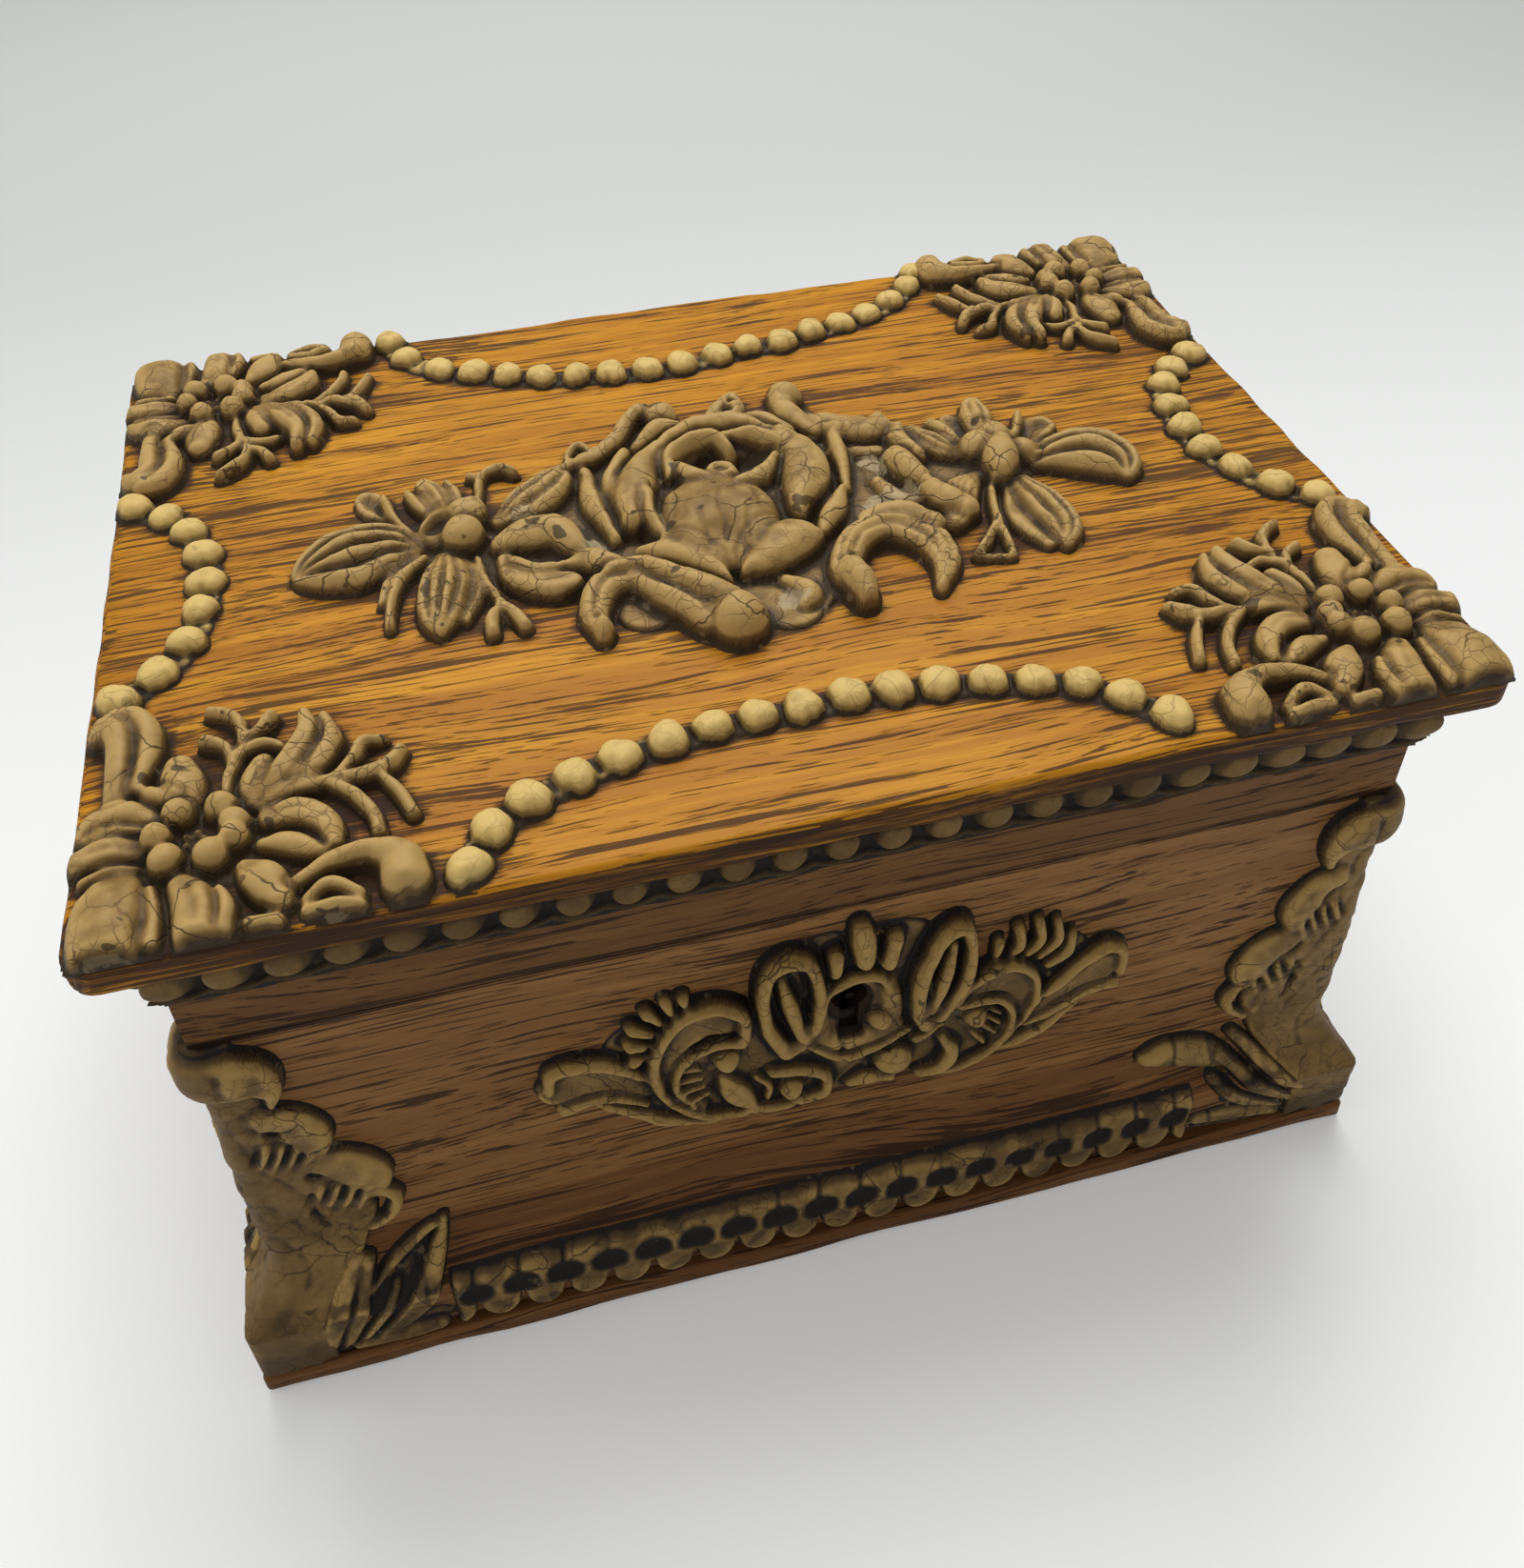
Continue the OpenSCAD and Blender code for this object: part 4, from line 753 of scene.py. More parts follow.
def keyhole_ornament():
    """The ornament over x and z of the front wall, drawn stroke by stroke. The hole is an oval
    round the keyhole's upper part, with the slot below it left open."""
    o = Relief(-76, 82, 50, 130, 0.42)
    for x, z, r in ((4, 84, 26), (-24, 80, 20), (32, 80, 20), (-2, 104, 18), (12, 104, 18),
                    (-42, 92, 15), (52, 90, 15), (-38, 72, 12), (44, 72, 12)):
        o.berry(x, z, r, 0.9, flat=0.12, gap=0)

    # left tail, fanned shell, rolled scroll and what lies in its hollow
    o.leaf([(-44, 76, 2, 2.4), (-53, 85, 5, 3.4), (-61, 90, 7, 4.4), (-66.6, 87.5, 6, 4.2)],
           cup=0.4)
    o.leaf([(-45, 82, 1.3, 3.2), (-53, 92.6, 1.8, 4.6), (-61, 96.6, 2, 5), (-68, 95.6, 1.9, 4.8),
            (-69.4, 89, 1.6, 4.4)])
    o.leaf([(-47, 73.4, 1.1, 3), (-57, 81.6, 1.5, 4.2), (-66.6, 80.4, 2.2, 4.6)])
    o.leaf([(-59, 79, 1.4, 3), (-51, 72, 2, 3.8), (-41.5, 64, 2, 3.6), (-30, 59.6, 1.2, 3)], ribs=1)
    for x0, z0, x1, z1 in ((-36, 108.5, -36.6, 112.4), (-39, 106.6, -40.6, 112.4),
                           (-41.6, 104.4, -45.2, 110.2), (-43.4, 101, -49, 105.6),
                           (-44.6, 97, -49.8, 99.6), (-45.4, 92.6, -49.2, 93)):
        o.leaf([(x0, z0, 1.3, 3), (x1, z1, 1.8, 4.4)], gap=1.3)
    o.leaf([(-24, 98, 3, 4.6), (-31, 101, 5, 4.8), (-38.5, 98, 5.4, 4.6), (-42.5, 88, 4.6, 4.4),
            (-41.5, 76.5, 3.6, 3.8), (-34.5, 66, 2.6, 3.2)], cup=0.35)
    o.leaf([(-22.6, 94, 2, 5.4), (-23, 103, 2, 6), (-30.7, 108.6, 1.7, 6), (-39, 104.6, 1.6, 5.6),
            (-44.4, 91, 1.6, 5), (-42.6, 76, 1.5, 4.6), (-33.5, 63.6, 1.3, 4),
            (-19.6, 60.8, 1.3, 4), (-7.9, 60.6, 1.3, 3.8), (-1, 64, 1, 3)])
    o.leaf([(-23.4, 93, 1.6, 5.6), (-31, 93.4, 1.4, 5.2), (-37.6, 89, 1.3, 5),
            (-39.8, 78, 1.3, 4.6), (-35.6, 68.4, 1, 3.8)])
    for x0, z0, x1, z1 in ((-37.5, 84, -33, 81.6), (-38, 79.6, -33, 78), (-37.4, 75, -32.6, 74.6),
                           (-35.6, 71, -31.4, 71.6)):
        o.leaf([(x0, z0, 0.9, 3.4), (x1, z1, 0.7, 2.4)], gap=0.7)
    o.berry(-27.1, 85.4, 3.5, 5.2, base=0.6)
    o.leaf([(-28.4, 78, 1.2, 3.4), (-25, 70, 3.8, 5), (-20.4, 61.8, 1.3, 3.6)], cup=0.15)
    o.leaf([(-20, 74, 1, 2.6), (-16.6, 69, 1.2, 3.2), (-17, 63.6, 1, 2.6)])
    o.leaf([(-16, 75, 1.5, 3.8), (-8, 74, 1.7, 4.8), (-2.4, 69, 1.7, 4.8), (-2.6, 62, 1.5, 4.2),
            (-8.6, 59.4, 1.2, 3.4)])
    o.berry(-11.2, 67.3, 3.5, 5.2, base=0.4)

    # right side, where the scroll is tighter and the tail longer
    o.leaf([(50, 72, 2, 2.6), (59, 79, 4, 3.8), (66, 85, 5.6, 4.6), (70.6, 87.6, 5, 4.4)], cup=0.35)
    o.leaf([(48, 76, 1.3, 3.4), (56, 85, 1.7, 4.6), (63.6, 93, 1.9, 5), (69.4, 96.6, 1.9, 5),
            (74, 92.6, 1.8, 4.8), (74.4, 85, 1.5, 4.4)])
    o.leaf([(50, 69.6, 1.1, 3), (60, 75.6, 1.5, 4), (67, 80.4, 1.7, 4.6), (73, 81, 1.9, 4.6)])
    o.leaf([(41.7, 61.6, 1.3, 3), (53.8, 66, 1.9, 3.8), (63.8, 74.4, 1.3, 3)], ribs=1)
    for points in (((40, 101, 1.3, 3), (40.4, 107, 1.5, 4)),
                   ((44, 100.4, 1.3, 3), (45.6, 106, 1.7, 4.4), (45, 111, 1.5, 4)),
                   ((48, 99.4, 1.3, 3), (50.8, 105.6, 1.7, 4.4), (50, 111.8, 1.5, 4)),
                   ((51.6, 97, 1.3, 3), (55.2, 103.6, 1.7, 4.4), (54.8, 110, 1.5, 4)),
                   ((54, 93, 1.3, 3), (58.6, 98.4, 1.7, 4.4), (59.2, 104, 1.5, 4))):
        o.leaf(points, gap=1.3)
    o.leaf([(33, 89, 2.4, 4.2), (41, 92.6, 4.6, 4.8), (47.6, 87, 4.6, 4.6), (48.6, 76, 3.6, 4),
            (43, 65, 2.4, 3.2)], cup=0.35)
    o.leaf([(30.6, 87.4, 1.4, 5), (36, 96.6, 1.7, 5.6), (44, 98.4, 1.7, 5.4), (50.6, 91.4, 1.5, 5),
            (51.6, 81, 1.4, 4.4), (47, 69.6, 1.3, 4), (38.6, 60.4, 1.2, 3.6)])
    o.leaf([(31, 86, 1.3, 4.6), (40.4, 86, 1.5, 5), (45.8, 78.6, 1.4, 4.8), (45, 67.6, 1.3, 4.2),
            (36, 59, 1.3, 3.8), (25, 57.6, 1.1, 3.2)])
    o.berry(36.2, 79.8, 3.5, 5.2, base=0.4)
    for x0, z0, x1, z1 in ((39.6, 80.6, 43.4, 77.6), (39.4, 77, 43.4, 73.6),
                           (38.2, 73.8, 42.4, 69.8), (36, 71.4, 39.6, 66.6)):
        o.leaf([(x0, z0, 0.7, 2.4), (x1, z1, 0.9, 3.4)], gap=0.7)
    o.leaf([(22.6, 59.4, 1.4, 3.6), (28.4, 61.4, 2.4, 4.8), (30.8, 67, 2.4, 5), (28, 73, 1.2, 4)])
    o.berry(15.2, 69.4, 5.4, 6, flat=0.4)
    o.leaf([(4.4, 61.6, 1.6, 3), (9.6, 64, 2.6, 4.6), (15, 61.4, 1.6, 3.6)], gap=1.2)
    o.leaf([(20.6, 74.6, 1.2, 3.4), (25, 77.6, 1.2, 4), (29, 82, 1.2, 4)])

    # looped leaves, petals and shield
    for points in (((-12, 82.4, 3, 4.2), (-17, 95, 2.2, 6), (-18.2, 108, 2.1, 6.4),
                    (-16.6, 116.4, 2, 6.6), (-12, 120, 2, 6.6), (-7.4, 117, 2, 6.4),
                    (-4.6, 107, 2, 6.2), (-4.8, 95, 2.2, 5.8), (-9.6, 83.6, 3, 4.4)),
                   ((23.4, 81, 3, 4.4), (20.6, 90, 2.6, 6), (21, 103, 2.4, 6.4),
                    (25, 116, 2.2, 6.6), (30, 118.6, 2, 6.6), (32.4, 109.6, 2, 6.4),
                    (31.8, 96.6, 2.2, 6), (26.4, 84, 3, 4.6))):
        o.leaf(points, gap=1.5)
    o.leaf([(-13.8, 111.6, 1.2, 4), (-11.6, 101.6, 2.4, 5.4), (-8.8, 89, 2, 5)], gap=1.3)
    o.leaf([(28.2, 112, 1.6, 5), (26.6, 100.4, 2.4, 5.8), (24, 88, 2.2, 5)], gap=1.3)
    o.leaf([(-7, 84, 3.2, 2.8), (3, 80.4, 4, 3.2), (15, 82.6, 3.4, 3)], gap=0)
    o.leaf([(-3.4, 101, 2, 3), (-4, 92, 2.6, 3), (-3.6, 84, 3, 2.8)], gap=0)
    o.leaf([(13, 101, 2, 3), (14.4, 92, 3.4, 3.2), (13.4, 84, 3.6, 3)], gap=0)
    o.leaf([(-3.6, 98, 1.2, 3.4), (-1.4, 104, 1.5, 4.6), (4.4, 106.8, 1.7, 5),
            (10.2, 104.8, 1.5, 4.6), (13.4, 98, 1.1, 3.4)])
    o.leaf([(-8.4, 84, 1.1, 3.6), (1.3, 75.8, 1.3, 4.4), (9.4, 77, 1.3, 4.4), (19, 80.6, 1.1, 3.6)])
    o.berry(11.4, 87.4, 3.4, 4.8, base=0.4, gap=0.5)
    o.score(((1.6, 85), (2, 74)), 0.4, 1.6)
    o.leaf([(-0.6, 110, 2.3, 4.4), (-0.6, 116, 2.5, 5)], gap=1.4)
    o.leaf([(6.6, 112, 2.8, 5), (6, 119, 3.5, 6.4), (5.4, 124.6, 2.6, 5.4)], gap=1.4)
    o.leaf([(12.4, 109.6, 2.4, 4.6), (13.6, 118, 2.5, 5.2)], gap=1.4)
    dx, dz = o.x - KEY_X, o.y - KEY_Z
    slot = np.maximum(np.abs(dx) - SLOT_W / 2 - 0.35, np.maximum(dz, -dz - KEY_DEEP - 0.3))
    hole = np.minimum((np.hypot(dx / 5.3, (dz + 1.6) / 7.4) - 1) * 5.3, slot)
    o.h = np.where(hole < 0, -3.0, np.minimum(o.h, 1.2 + 3.5 * hole))
    place = lambda a, b, c: np.stack([a, -(CASE_D / 2 + c), b], -1)
    return o.finish("keyhole_ornament_paste", place, 61, rough=0.14, limit=7.6)


seat(keyhole_ornament(), "case", "keyhole_ornament", case_paste)


# Lock and hinges. The lock is a steel case with a steel cover let into the front wall; two butt
# hinges with round pins join the backs. The metal is dulled, with darker tarnish in patches.
def tarnished(name, colour, dark, rough):
    """Old metal: a cloudy tarnish that dulls its gloss, over fine scratches, and black painted
    shade round the line through the keyhole, so that metal seen through it stays dark."""
    made, tree, shader = new_finish(name)
    place = put(tree, "TexCoord").outputs["Object"]
    cloud = window(tree, noise(tree, place, 130, 6.0, 0.65), 0.4, 0.68)
    line = noise(tree, stretch(tree, place, (300, 2400, 2400)), 1.0, 3.0)
    off = put(tree, "VectorMath", {0: place, 1: (KEY_X * MM, 0, KEY_Z * MM)}, operation="SUBTRACT")
    off = stretch(tree, off.outputs[0], (1000, 0, 700))
    off = put(tree, "VectorMath", {0: off}, operation="LENGTH").outputs["Value"]
    skin = blend(tree, cloud, (*colour, 1), (*dark, 1))
    # Black painted shade along the keyhole's line, so that metal seen through the hole stays dark.
    skin = blend(tree, window(tree, off, 6.0, 8.5, 1.0, 0.0), skin, (0.008, 0.007, 0.006, 1))
    tree.links.new(skin, shader.inputs["Base Color"])
    tree.links.new(math(tree, "ADD", math(tree, "MULTIPLY", cloud, 0.25), rough),
                   shader.inputs["Roughness"])
    shader.inputs["Metallic"].default_value = 1.0
    emboss(tree, shader, line, 0.15, 0.0002)
    return made


brass = tarnished("old_brass", (0.56, 0.38, 0.13), (0.18, 0.11, 0.04), 0.32)
# The lock's steel is made dark as painted shade, so that it stays dark where it shows through the
# keyhole.
iron = tarnished("lock_steel", (0.09, 0.08, 0.07), (0.03, 0.024, 0.02), 0.6)
screw_iron = tarnished("screw_steel", (0.33, 0.31, 0.28), (0.10, 0.08, 0.06), 0.36)
metals = {
    brass: ("lock_bolt", "lock_screws", "link_plate", "link_plate_screws", "hinge_case_leaf_left",
            "hinge_case_leaf_right", "hinge_lid_leaf_left", "hinge_lid_leaf_right",
            "hinge_pin_left", "hinge_pin_right", "hinge_case_screws", "hinge_lid_screws"),
    iron: ("lock_case", "lock_cover"),
    screw_iron: ("base_screws",),
}
for metal, names in metals.items():
    for name in names:
        dress(name, metal)


# Lid. A wide board with softened arrises lies on a frame of four rims. Its varnish is golden, and
# dark polish has gathered in the grain and round the feet of the ornaments.
LID_W, LID_D, LID_LOW, LID_TOP = 304.0, 215.0, 165.8, 174.0
lid_oak = oak_wood("lid_oak_board", (0.62, 0.285, 0.016), (0.40, 0.155, 0.010),
                   (0.028, 0.0135, 0.010), 1.0, gloss=0.36, reads_soot_and_shade=True, sizes=(1.1, 1.25, 1.25))
rim_oak = {k: oak_wood("rim_oak_" + k, (0.225, 0.112, 0.036), (0.14, 0.064, 0.020), FRONT_PORE,
                       along=k, darkened_zones=[SEAM]) for k in ("x", "y")}
low = np.array([-LID_W / 2, -LID_D / 2, LID_LOW])
high = np.array([LID_W / 2, LID_D / 2, LID_TOP])


def lid_wear(points):
    """Worn arrises, and a top that the plane left very slightly uneven."""
    corner = np.array([LID_W, LID_D]) / 2 - 6.0
    reach = np.abs(points[:, :2]) - corner
    near = (reach > 0).all(1)
    ratio = reach[near].max(1) / np.maximum(np.hypot(*reach[near].T), 1e-9)
    points[near, :2] = np.sign(points[near, :2]) * (corner + reach[near] * ratio[:, None])
    points = worn(points, low, high, 0.6, 5)
    x, y = points[:, 0], points[:, 1]
    dip = 0.07 * np.sin(x * 0.045 + 1) * np.cos(y * 0.06) + 0.05 * np.sin(x * 0.02 - y * 0.13)
    points[:, 2] += np.where(points[:, 2] > LID_TOP - 1, dip - 0.12, 0)
    return points


lid_board = slab("lid_board_wood", low, high, 1.5, 1.5, lid_wear)
seat(lid_board, "lid", "lid_board", lid_oak)
for name, along in (("front", "x"), ("back", "x"), ("left", "y"), ("right", "y")):
    dress("lid_rim_" + name, rim_oak[along])


# Crown moulding. Under the lid board runs a row of egg-shaped lumps in a hollow, over a wavy lip,
# mitred at the corners of the rim.
CROWN_PITCH, CROWN_LOW, CROWN_TOP = 10.9, 145.4, 165.8


def crown(side, seed):
    """The section's front goes from the lip up to the board. It stands out by a cove, plus an egg
    for each pitch, less a hollow between eggs, plus a lip whose height waves with the pitch."""
    half = SIDES[side][1]
    steps, rows = int(half * 2 / 0.7), 40
    s = np.linspace(-1, 1, steps)[:, None] * half
    z = np.linspace(CROWN_LOW, CROWN_TOP, rows)[None, :]
    count = int(2 * half // CROWN_PITCH)
    pitch = 2 * half / count
    u = (s / pitch + 0.5 * (count % 2 == 0))
    u = u - np.round(u)
    t = (z - CROWN_LOW) / (CROWN_TOP - CROWN_LOW)
    ground = 0.8 + 4.2 * t ** 1.5
    egg = 1 - (u / 0.36) ** 2 - ((z - 155.2) / 5.4) ** 2
    egg_out = 3.6 * np.clip(egg, 0, 1) ** 0.5
    lip_z = 148.0 + 1.6 * (2 * u) ** 2
    lip = 1.8 * np.exp(-((z - lip_z) / 0.8) ** 2)
    out = ground * np.where(egg > 0, 1, 0.7) + egg_out + lip
    rng = np.random.default_rng(seed)
    out = out + soften(rng.standard_normal(out.shape), 2.0) * 0.5
    out = np.clip(out, 0.2, 7.95)
    # hollow darkens the ground between the eggs, partly as glaze and partly as painted shade, and
    # rises towards the top as the painted shadow of the lid board.
    hollow = np.clip(1.1 - egg_out / 2.2 - lip * 0.4, 0, 1)
    hollow = np.maximum(hollow, np.clip((z - 158.4) / 3.0, 0, 1))
    back = np.zeros((steps, 2))
    loop_out = np.hstack([out, back])
    loop_z = np.hstack([np.broadcast_to(z, out.shape), np.full((steps, 1), CROWN_TOP),
                        np.full((steps, 1), CROWN_LOW)])
    marks = {"hollow": np.hstack([hollow, back + 1]).ravel()}
    return mitred("crown_moulding_%s_paste" % side, loop_out, loop_z, side, steps, marks)


for number, side in enumerate(SIDES):
    seat(crown(side, 70 + number), "lid", "crown_moulding_" + side, crown_paste_in_shade)


# Corner ornaments of the lid. Each is a ring of berries among cupped petals, with curled leaves
# along both edges and two sprays of slim stalks that point to the middle.
footprints = []


def on_lid(sx=-1, sy=-1):
    """Places a drawing of the front left quarter on the quarter of the given signs."""
    def place(x, y, h):
        points = np.stack([-sx * x, -sy * y, LID_TOP - 0.05 + h], -1)
        footprints.append(points[h > 0.2][::3, :2])
        return points
    return place


def corner_ornament(corner, seed):
    """The ornament drawn for the front left corner, where x and y are the lid's own."""
    o = Relief(-151.5, -80, -107.2, -38, 0.42)
    for x, y, r in ((-127, -81, 14), (-113, -84, 9), (-138, -92, 9), (-143, -78, 6)):
        o.berry(x, y, r, 1.2, flat=0.15, gap=0)
    o.leaf([(-141, -89.6, 4, 3.8), (-142.4, -95, 7, 5.8), (-143, -101, 7.6, 6.2),
            (-143, -105.6, 6.6, 5.2)])
    o.leaf([(-135.4, -92.6, 1.4, 3.2), (-134.4, -99, 2, 4), (-135, -105, 2, 3.4)])
    o.leaf([(-129.6, -93, 3.4, 3.8), (-127, -98.6, 5, 5.6), (-126.4, -104.6, 5, 5)], ribs=2,
           rib=0.12)
    o.leaf([(-122.6, -96, 1.2, 4), (-121, -100.6, 1.8, 4.8), (-121.4, -105.6, 1.8, 4)])
    o.leaf([(-136, -74.6, 2.6, 3.4), (-141.6, -72, 4.6, 5.2), (-146.4, -73.6, 4, 4.8),
            (-149, -76, 2, 3.6)])
    o.leaf([(-137, -77.6, 1, 3.6), (-142, -76.6, 1.4, 4.6), (-148, -77.6, 1.4, 4)])
    o.leaf([(-138, -82, 3, 3.6), (-143.6, -81.6, 4.2, 5.4), (-149, -82.6, 3.2, 4.6)], ribs=2,
           rib=0.15)
    o.leaf([(-138, -86.6, 1, 3), (-143, -86.6, 1.6, 4.2), (-148.4, -88, 1.2, 3.4)])
    o.leaf([(-129, -73.4, 2.6, 3.4), (-130.4, -67, 5, 5.2), (-131.4, -61, 3.8, 4.4)])
    o.leaf([(-131.6, -71, 1.8, 3.6), (-135.6, -68.4, 2.4, 4.8), (-138.8, -65.6, 1.7, 4)])
    o.leaf([(-143.6, -68, 3, 3.8), (-143.2, -58, 3.6, 5.2), (-143, -51, 4, 6.2),
            (-145.4, -46.4, 4.2, 6.6), (-148, -47.8, 2.6, 5.2)])
    o.leaf([(-139.4, -65, 2, 3.8), (-137.6, -57, 2.8, 5.2), (-137.6, -50, 3, 6),
            (-140.4, -44.6, 3, 6.4), (-145, -43, 2, 5.4)])
    o.leaf([(-121.6, -73, 1.6, 3), (-121.4, -66, 1.7, 3.8), (-119, -58, 1.7, 4.4),
            (-119, -52, 1.7, 4.6), (-121.6, -48, 1.8, 4.6), (-125.6, -45.6, 1.6, 4.2)])
    o.leaf([(-121, -62.6, 1.4, 3.4), (-122, -57.6, 1.6, 4), (-126.4, -54.6, 1.7, 4)])
    o.leaf([(-118.6, -56.4, 1.4, 4), (-115, -54, 1.8, 4.4), (-113, -50.4, 1.9, 4.4)])
    o.leaf([(-120.4, -61, 1.3, 3.6), (-116, -58.4, 1.7, 4), (-112.4, -58.8, 1.5, 3.8),
            (-109.4, -61.4, 1, 3)])
    o.leaf([(-117, -76, 2, 3.8), (-116.2, -70, 3.6, 5.4), (-114.6, -64.6, 3, 5)])
    o.leaf([(-113, -75.6, 2, 4.2), (-105, -69.6, 3.4, 5.8), (-100.8, -62, 2.8, 6),
            (-102, -54.6, 1.8, 5.2)])
    o.leaf([(-115, -76, 2.4, 4.2), (-110, -68.6, 3.8, 6.4), (-105.4, -60, 3, 7.2),
            (-105.8, -53.4, 2, 6)], ribs=2, rib=0.14)
    o.leaf([(-114.6, -78, 1.6, 3.4), (-109, -74.4, 1.9, 4.4), (-101, -73, 2, 4.8),
            (-94.6, -73.2, 2.1, 5), (-89.6, -71.4, 2.2, 5), (-86.8, -67.6, 1.7, 4.2)])
    o.leaf([(-100, -72, 1.4, 3.8), (-96.6, -68, 1.7, 4.2), (-94.4, -63.6, 1.7, 4.4),
            (-90.4, -63, 1.4, 3.6)])
    o.leaf([(-91.4, -73.6, 1.3, 4), (-88, -79, 1.7, 4.4), (-85.6, -85.4, 1.6, 3.6)])
    o.leaf([(-102, -73.6, 1.4, 3.8), (-97, -77.6, 1.8, 4.4), (-93.4, -83.6, 1.7, 4.2),
            (-92.4, -88.8, 1.6, 3.6)])
    o.leaf([(-115, -86.8, 1.6, 3.8), (-109, -88.2, 3.2, 5), (-103.2, -91.8, 2.2, 4)])
    o.leaf([(-114, -80.4, 2.6, 4), (-108, -80.4, 3.8, 5.8), (-102.6, -84.4, 3.4, 5.8),
            (-100.8, -90, 1.8, 4.4)], ribs=2, rib=0.14)
    o.leaf([(-118, -91.8, 2.4, 3.8), (-114.4, -96, 4.6, 5.6), (-111.4, -101, 3.2, 4.6)])
    o.leaf([(-108, -98, 1.8, 4), (-101.6, -95.2, 2.4, 5.6), (-95, -94.8, 2.6, 6.4),
            (-89.6, -97, 4, 7)], gap=1.2)
    o.leaf([(-88.6, -98.6, 5, 7), (-88.2, -102.4, 5.2, 7)], gap=0.3, power=0.45)
    o.leaf([(-107, -102.6, 1.4, 3.2), (-102, -100.4, 2, 4.6), (-96.8, -103.6, 1.6, 3.8)])
    o.leaf([(-107, -104.6, 1.4, 2.6), (-101.6, -105, 1.6, 3.8), (-96.6, -106, 1.2, 3)])
    o.leaf([(-117.4, -104.6, 1.8, 2.6), (-112, -105.4, 1.6, 3)])
    for x, y, r in ((-130.7, -75.4, 3.4), (-122.4, -75.8, 3.6), (-134.6, -81, 3.2),
                    (-119.8, -80.8, 3.4), (-119.8, -84.4, 3.2), (-132.6, -87, 3.7),
                    (-124.2, -87.8, 3.8)):
        o.berry(x, y, r, 4.4, base=2.8, gap=1.2)
    for k in range(5):
        a = np.radians(72 * k)
        o.berry(-127.7 + 2.0 * np.cos(a), -81.9 + 2.0 * np.sin(a), 0.8, 1.2, base=2.2, gap=0)
    edge = np.minimum(np.minimum(o.x + 151.6, o.y + 107.4) / 4.5, 1)
    o.h = np.minimum(o.h, 0.4 + 8 * np.clip(edge, 0, 1) ** 0.6)
    return o.finish("lid_corner_%s_paste" % corner, on_lid(*CORNERS[corner]), seed, rough=0.16,
                    limit=11.5)


for number, corner in enumerate(CORNERS):
    piece = corner_ornament(corner, 101 + 4 * number)
    seat(piece, "lid", "lid_corner_" + corner, lid_paste)


# Bead strings. Between the corners hang shallow swags of round beads, each flattened on top and
# nicked round its edge, on a thin strip that shows in the gaps. SWAGS is where each bead lies.
SWAGS = {
    "front": [(-76.5, -102), (-71, -93.5), (-63, -87.5), (-53, -83.5), (-43, -80.5), (-32.5, -78.5),
              (-22.5, -77), (-12.5, -76.5), (-2.5, -76), (8, -75.5), (18, -76), (28, -77),
              (38.5, -79), (48.5, -81.5), (58, -85), (65.5, -91), (72.5, -99)],
    "right": [(144, 35.5), (135.6, 29.5), (129.6, 22), (126.6, 11.6), (125.4, 1), (126, -9.4),
              (129.5, -19.5), (135.5, -29.5), (143.6, -36)],
    "back": [(-78.5, 104), (-74.5, 94), (-65.5, 85), (-56, 80.5), (-47, 76.5), (-38, 73),
             (-28, 71), (-18.5, 70), (-8, 69), (2, 69.5), (13, 71.5), (22.5, 73.5), (33, 74),
             (42.5, 77), (52.5, 79.5), (61.5, 82.5), (71, 88.5), (79, 96), (83, 103)],
    "left": [(-146.5, 38), (-138.5, 31.6), (-132.6, 23.6), (-129, 13), (-128, 2), (-129, -8.6),
             (-131.6, -19.5), (-137.5, -28.5), (-145.5, -36)],
}


def bead_string(side, seed):
    """The string over the lid's x and y: a strip, then a bead at each point of its path."""
    path, margin, board = np.array(SWAGS[side]), 7.0, np.array([151.6, 107.2])
    rng = np.random.default_rng(seed)
    lo, hi = np.maximum(path.min(0) - margin, -board), np.minimum(path.max(0) + margin, board)
    o = Relief(lo[0], hi[0], lo[1], hi[1], 0.42)
    o.leaf([(x, y, 3.6, 1.7) for x, y in path], power=0.3, gap=0)
    for x, y in path:
        r = rng.uniform(4.3, 4.9)
        rows, cols = o.near(x - r - 2, x + r + 2, y - r - 2, y + r + 2)
        dx, dy = o.x[rows, cols] - x, o.y[rows, cols] - y
        angle, d = np.arctan2(dy, dx), np.hypot(dx, dy) / r
        phase = rng.uniform(0, 6.28, 4)
        ragged = 1.04 + 0.06 * np.sin(2 * angle + phase[0]) + 0.04 * np.sin(3 * angle + phase[1])
        nicks = (np.clip(np.cos(5 * angle + phase[2]) - 0.9, 0, 1)
                 + np.clip(np.cos(3 * angle + phase[3]) - 0.95, 0, 1)) * 5.0
        d = d / (ragged - nicks * 0.10)
        tall = rng.uniform(4.0, 4.7)
        z = np.where(d < 1, tall * np.clip(1 - d ** 3.6, 0, 1) ** 0.5 - nicks * 1.5 * d ** 3,
                     -(d - 1) * r)
        off = np.angle(np.exp(1j * (angle + np.pi / 2 - rng.normal(0, 0.4))))
        z = z - 1.7 * np.exp(-(off / 0.24) ** 2) * np.clip((d - 0.4) / 0.5, 0, 1) * (z > 0)
        o.lay(rows, cols, z, 1.3)
    return o.finish("bead_string_%s_paste" % side, on_lid(), seed, rough=0.12, limit=6.5)


for number, side in enumerate(SIDES):
    piece = bead_string(side, 130 + 3 * number)
    seat(piece, "lid", "bead_string_" + side, bead_paste)


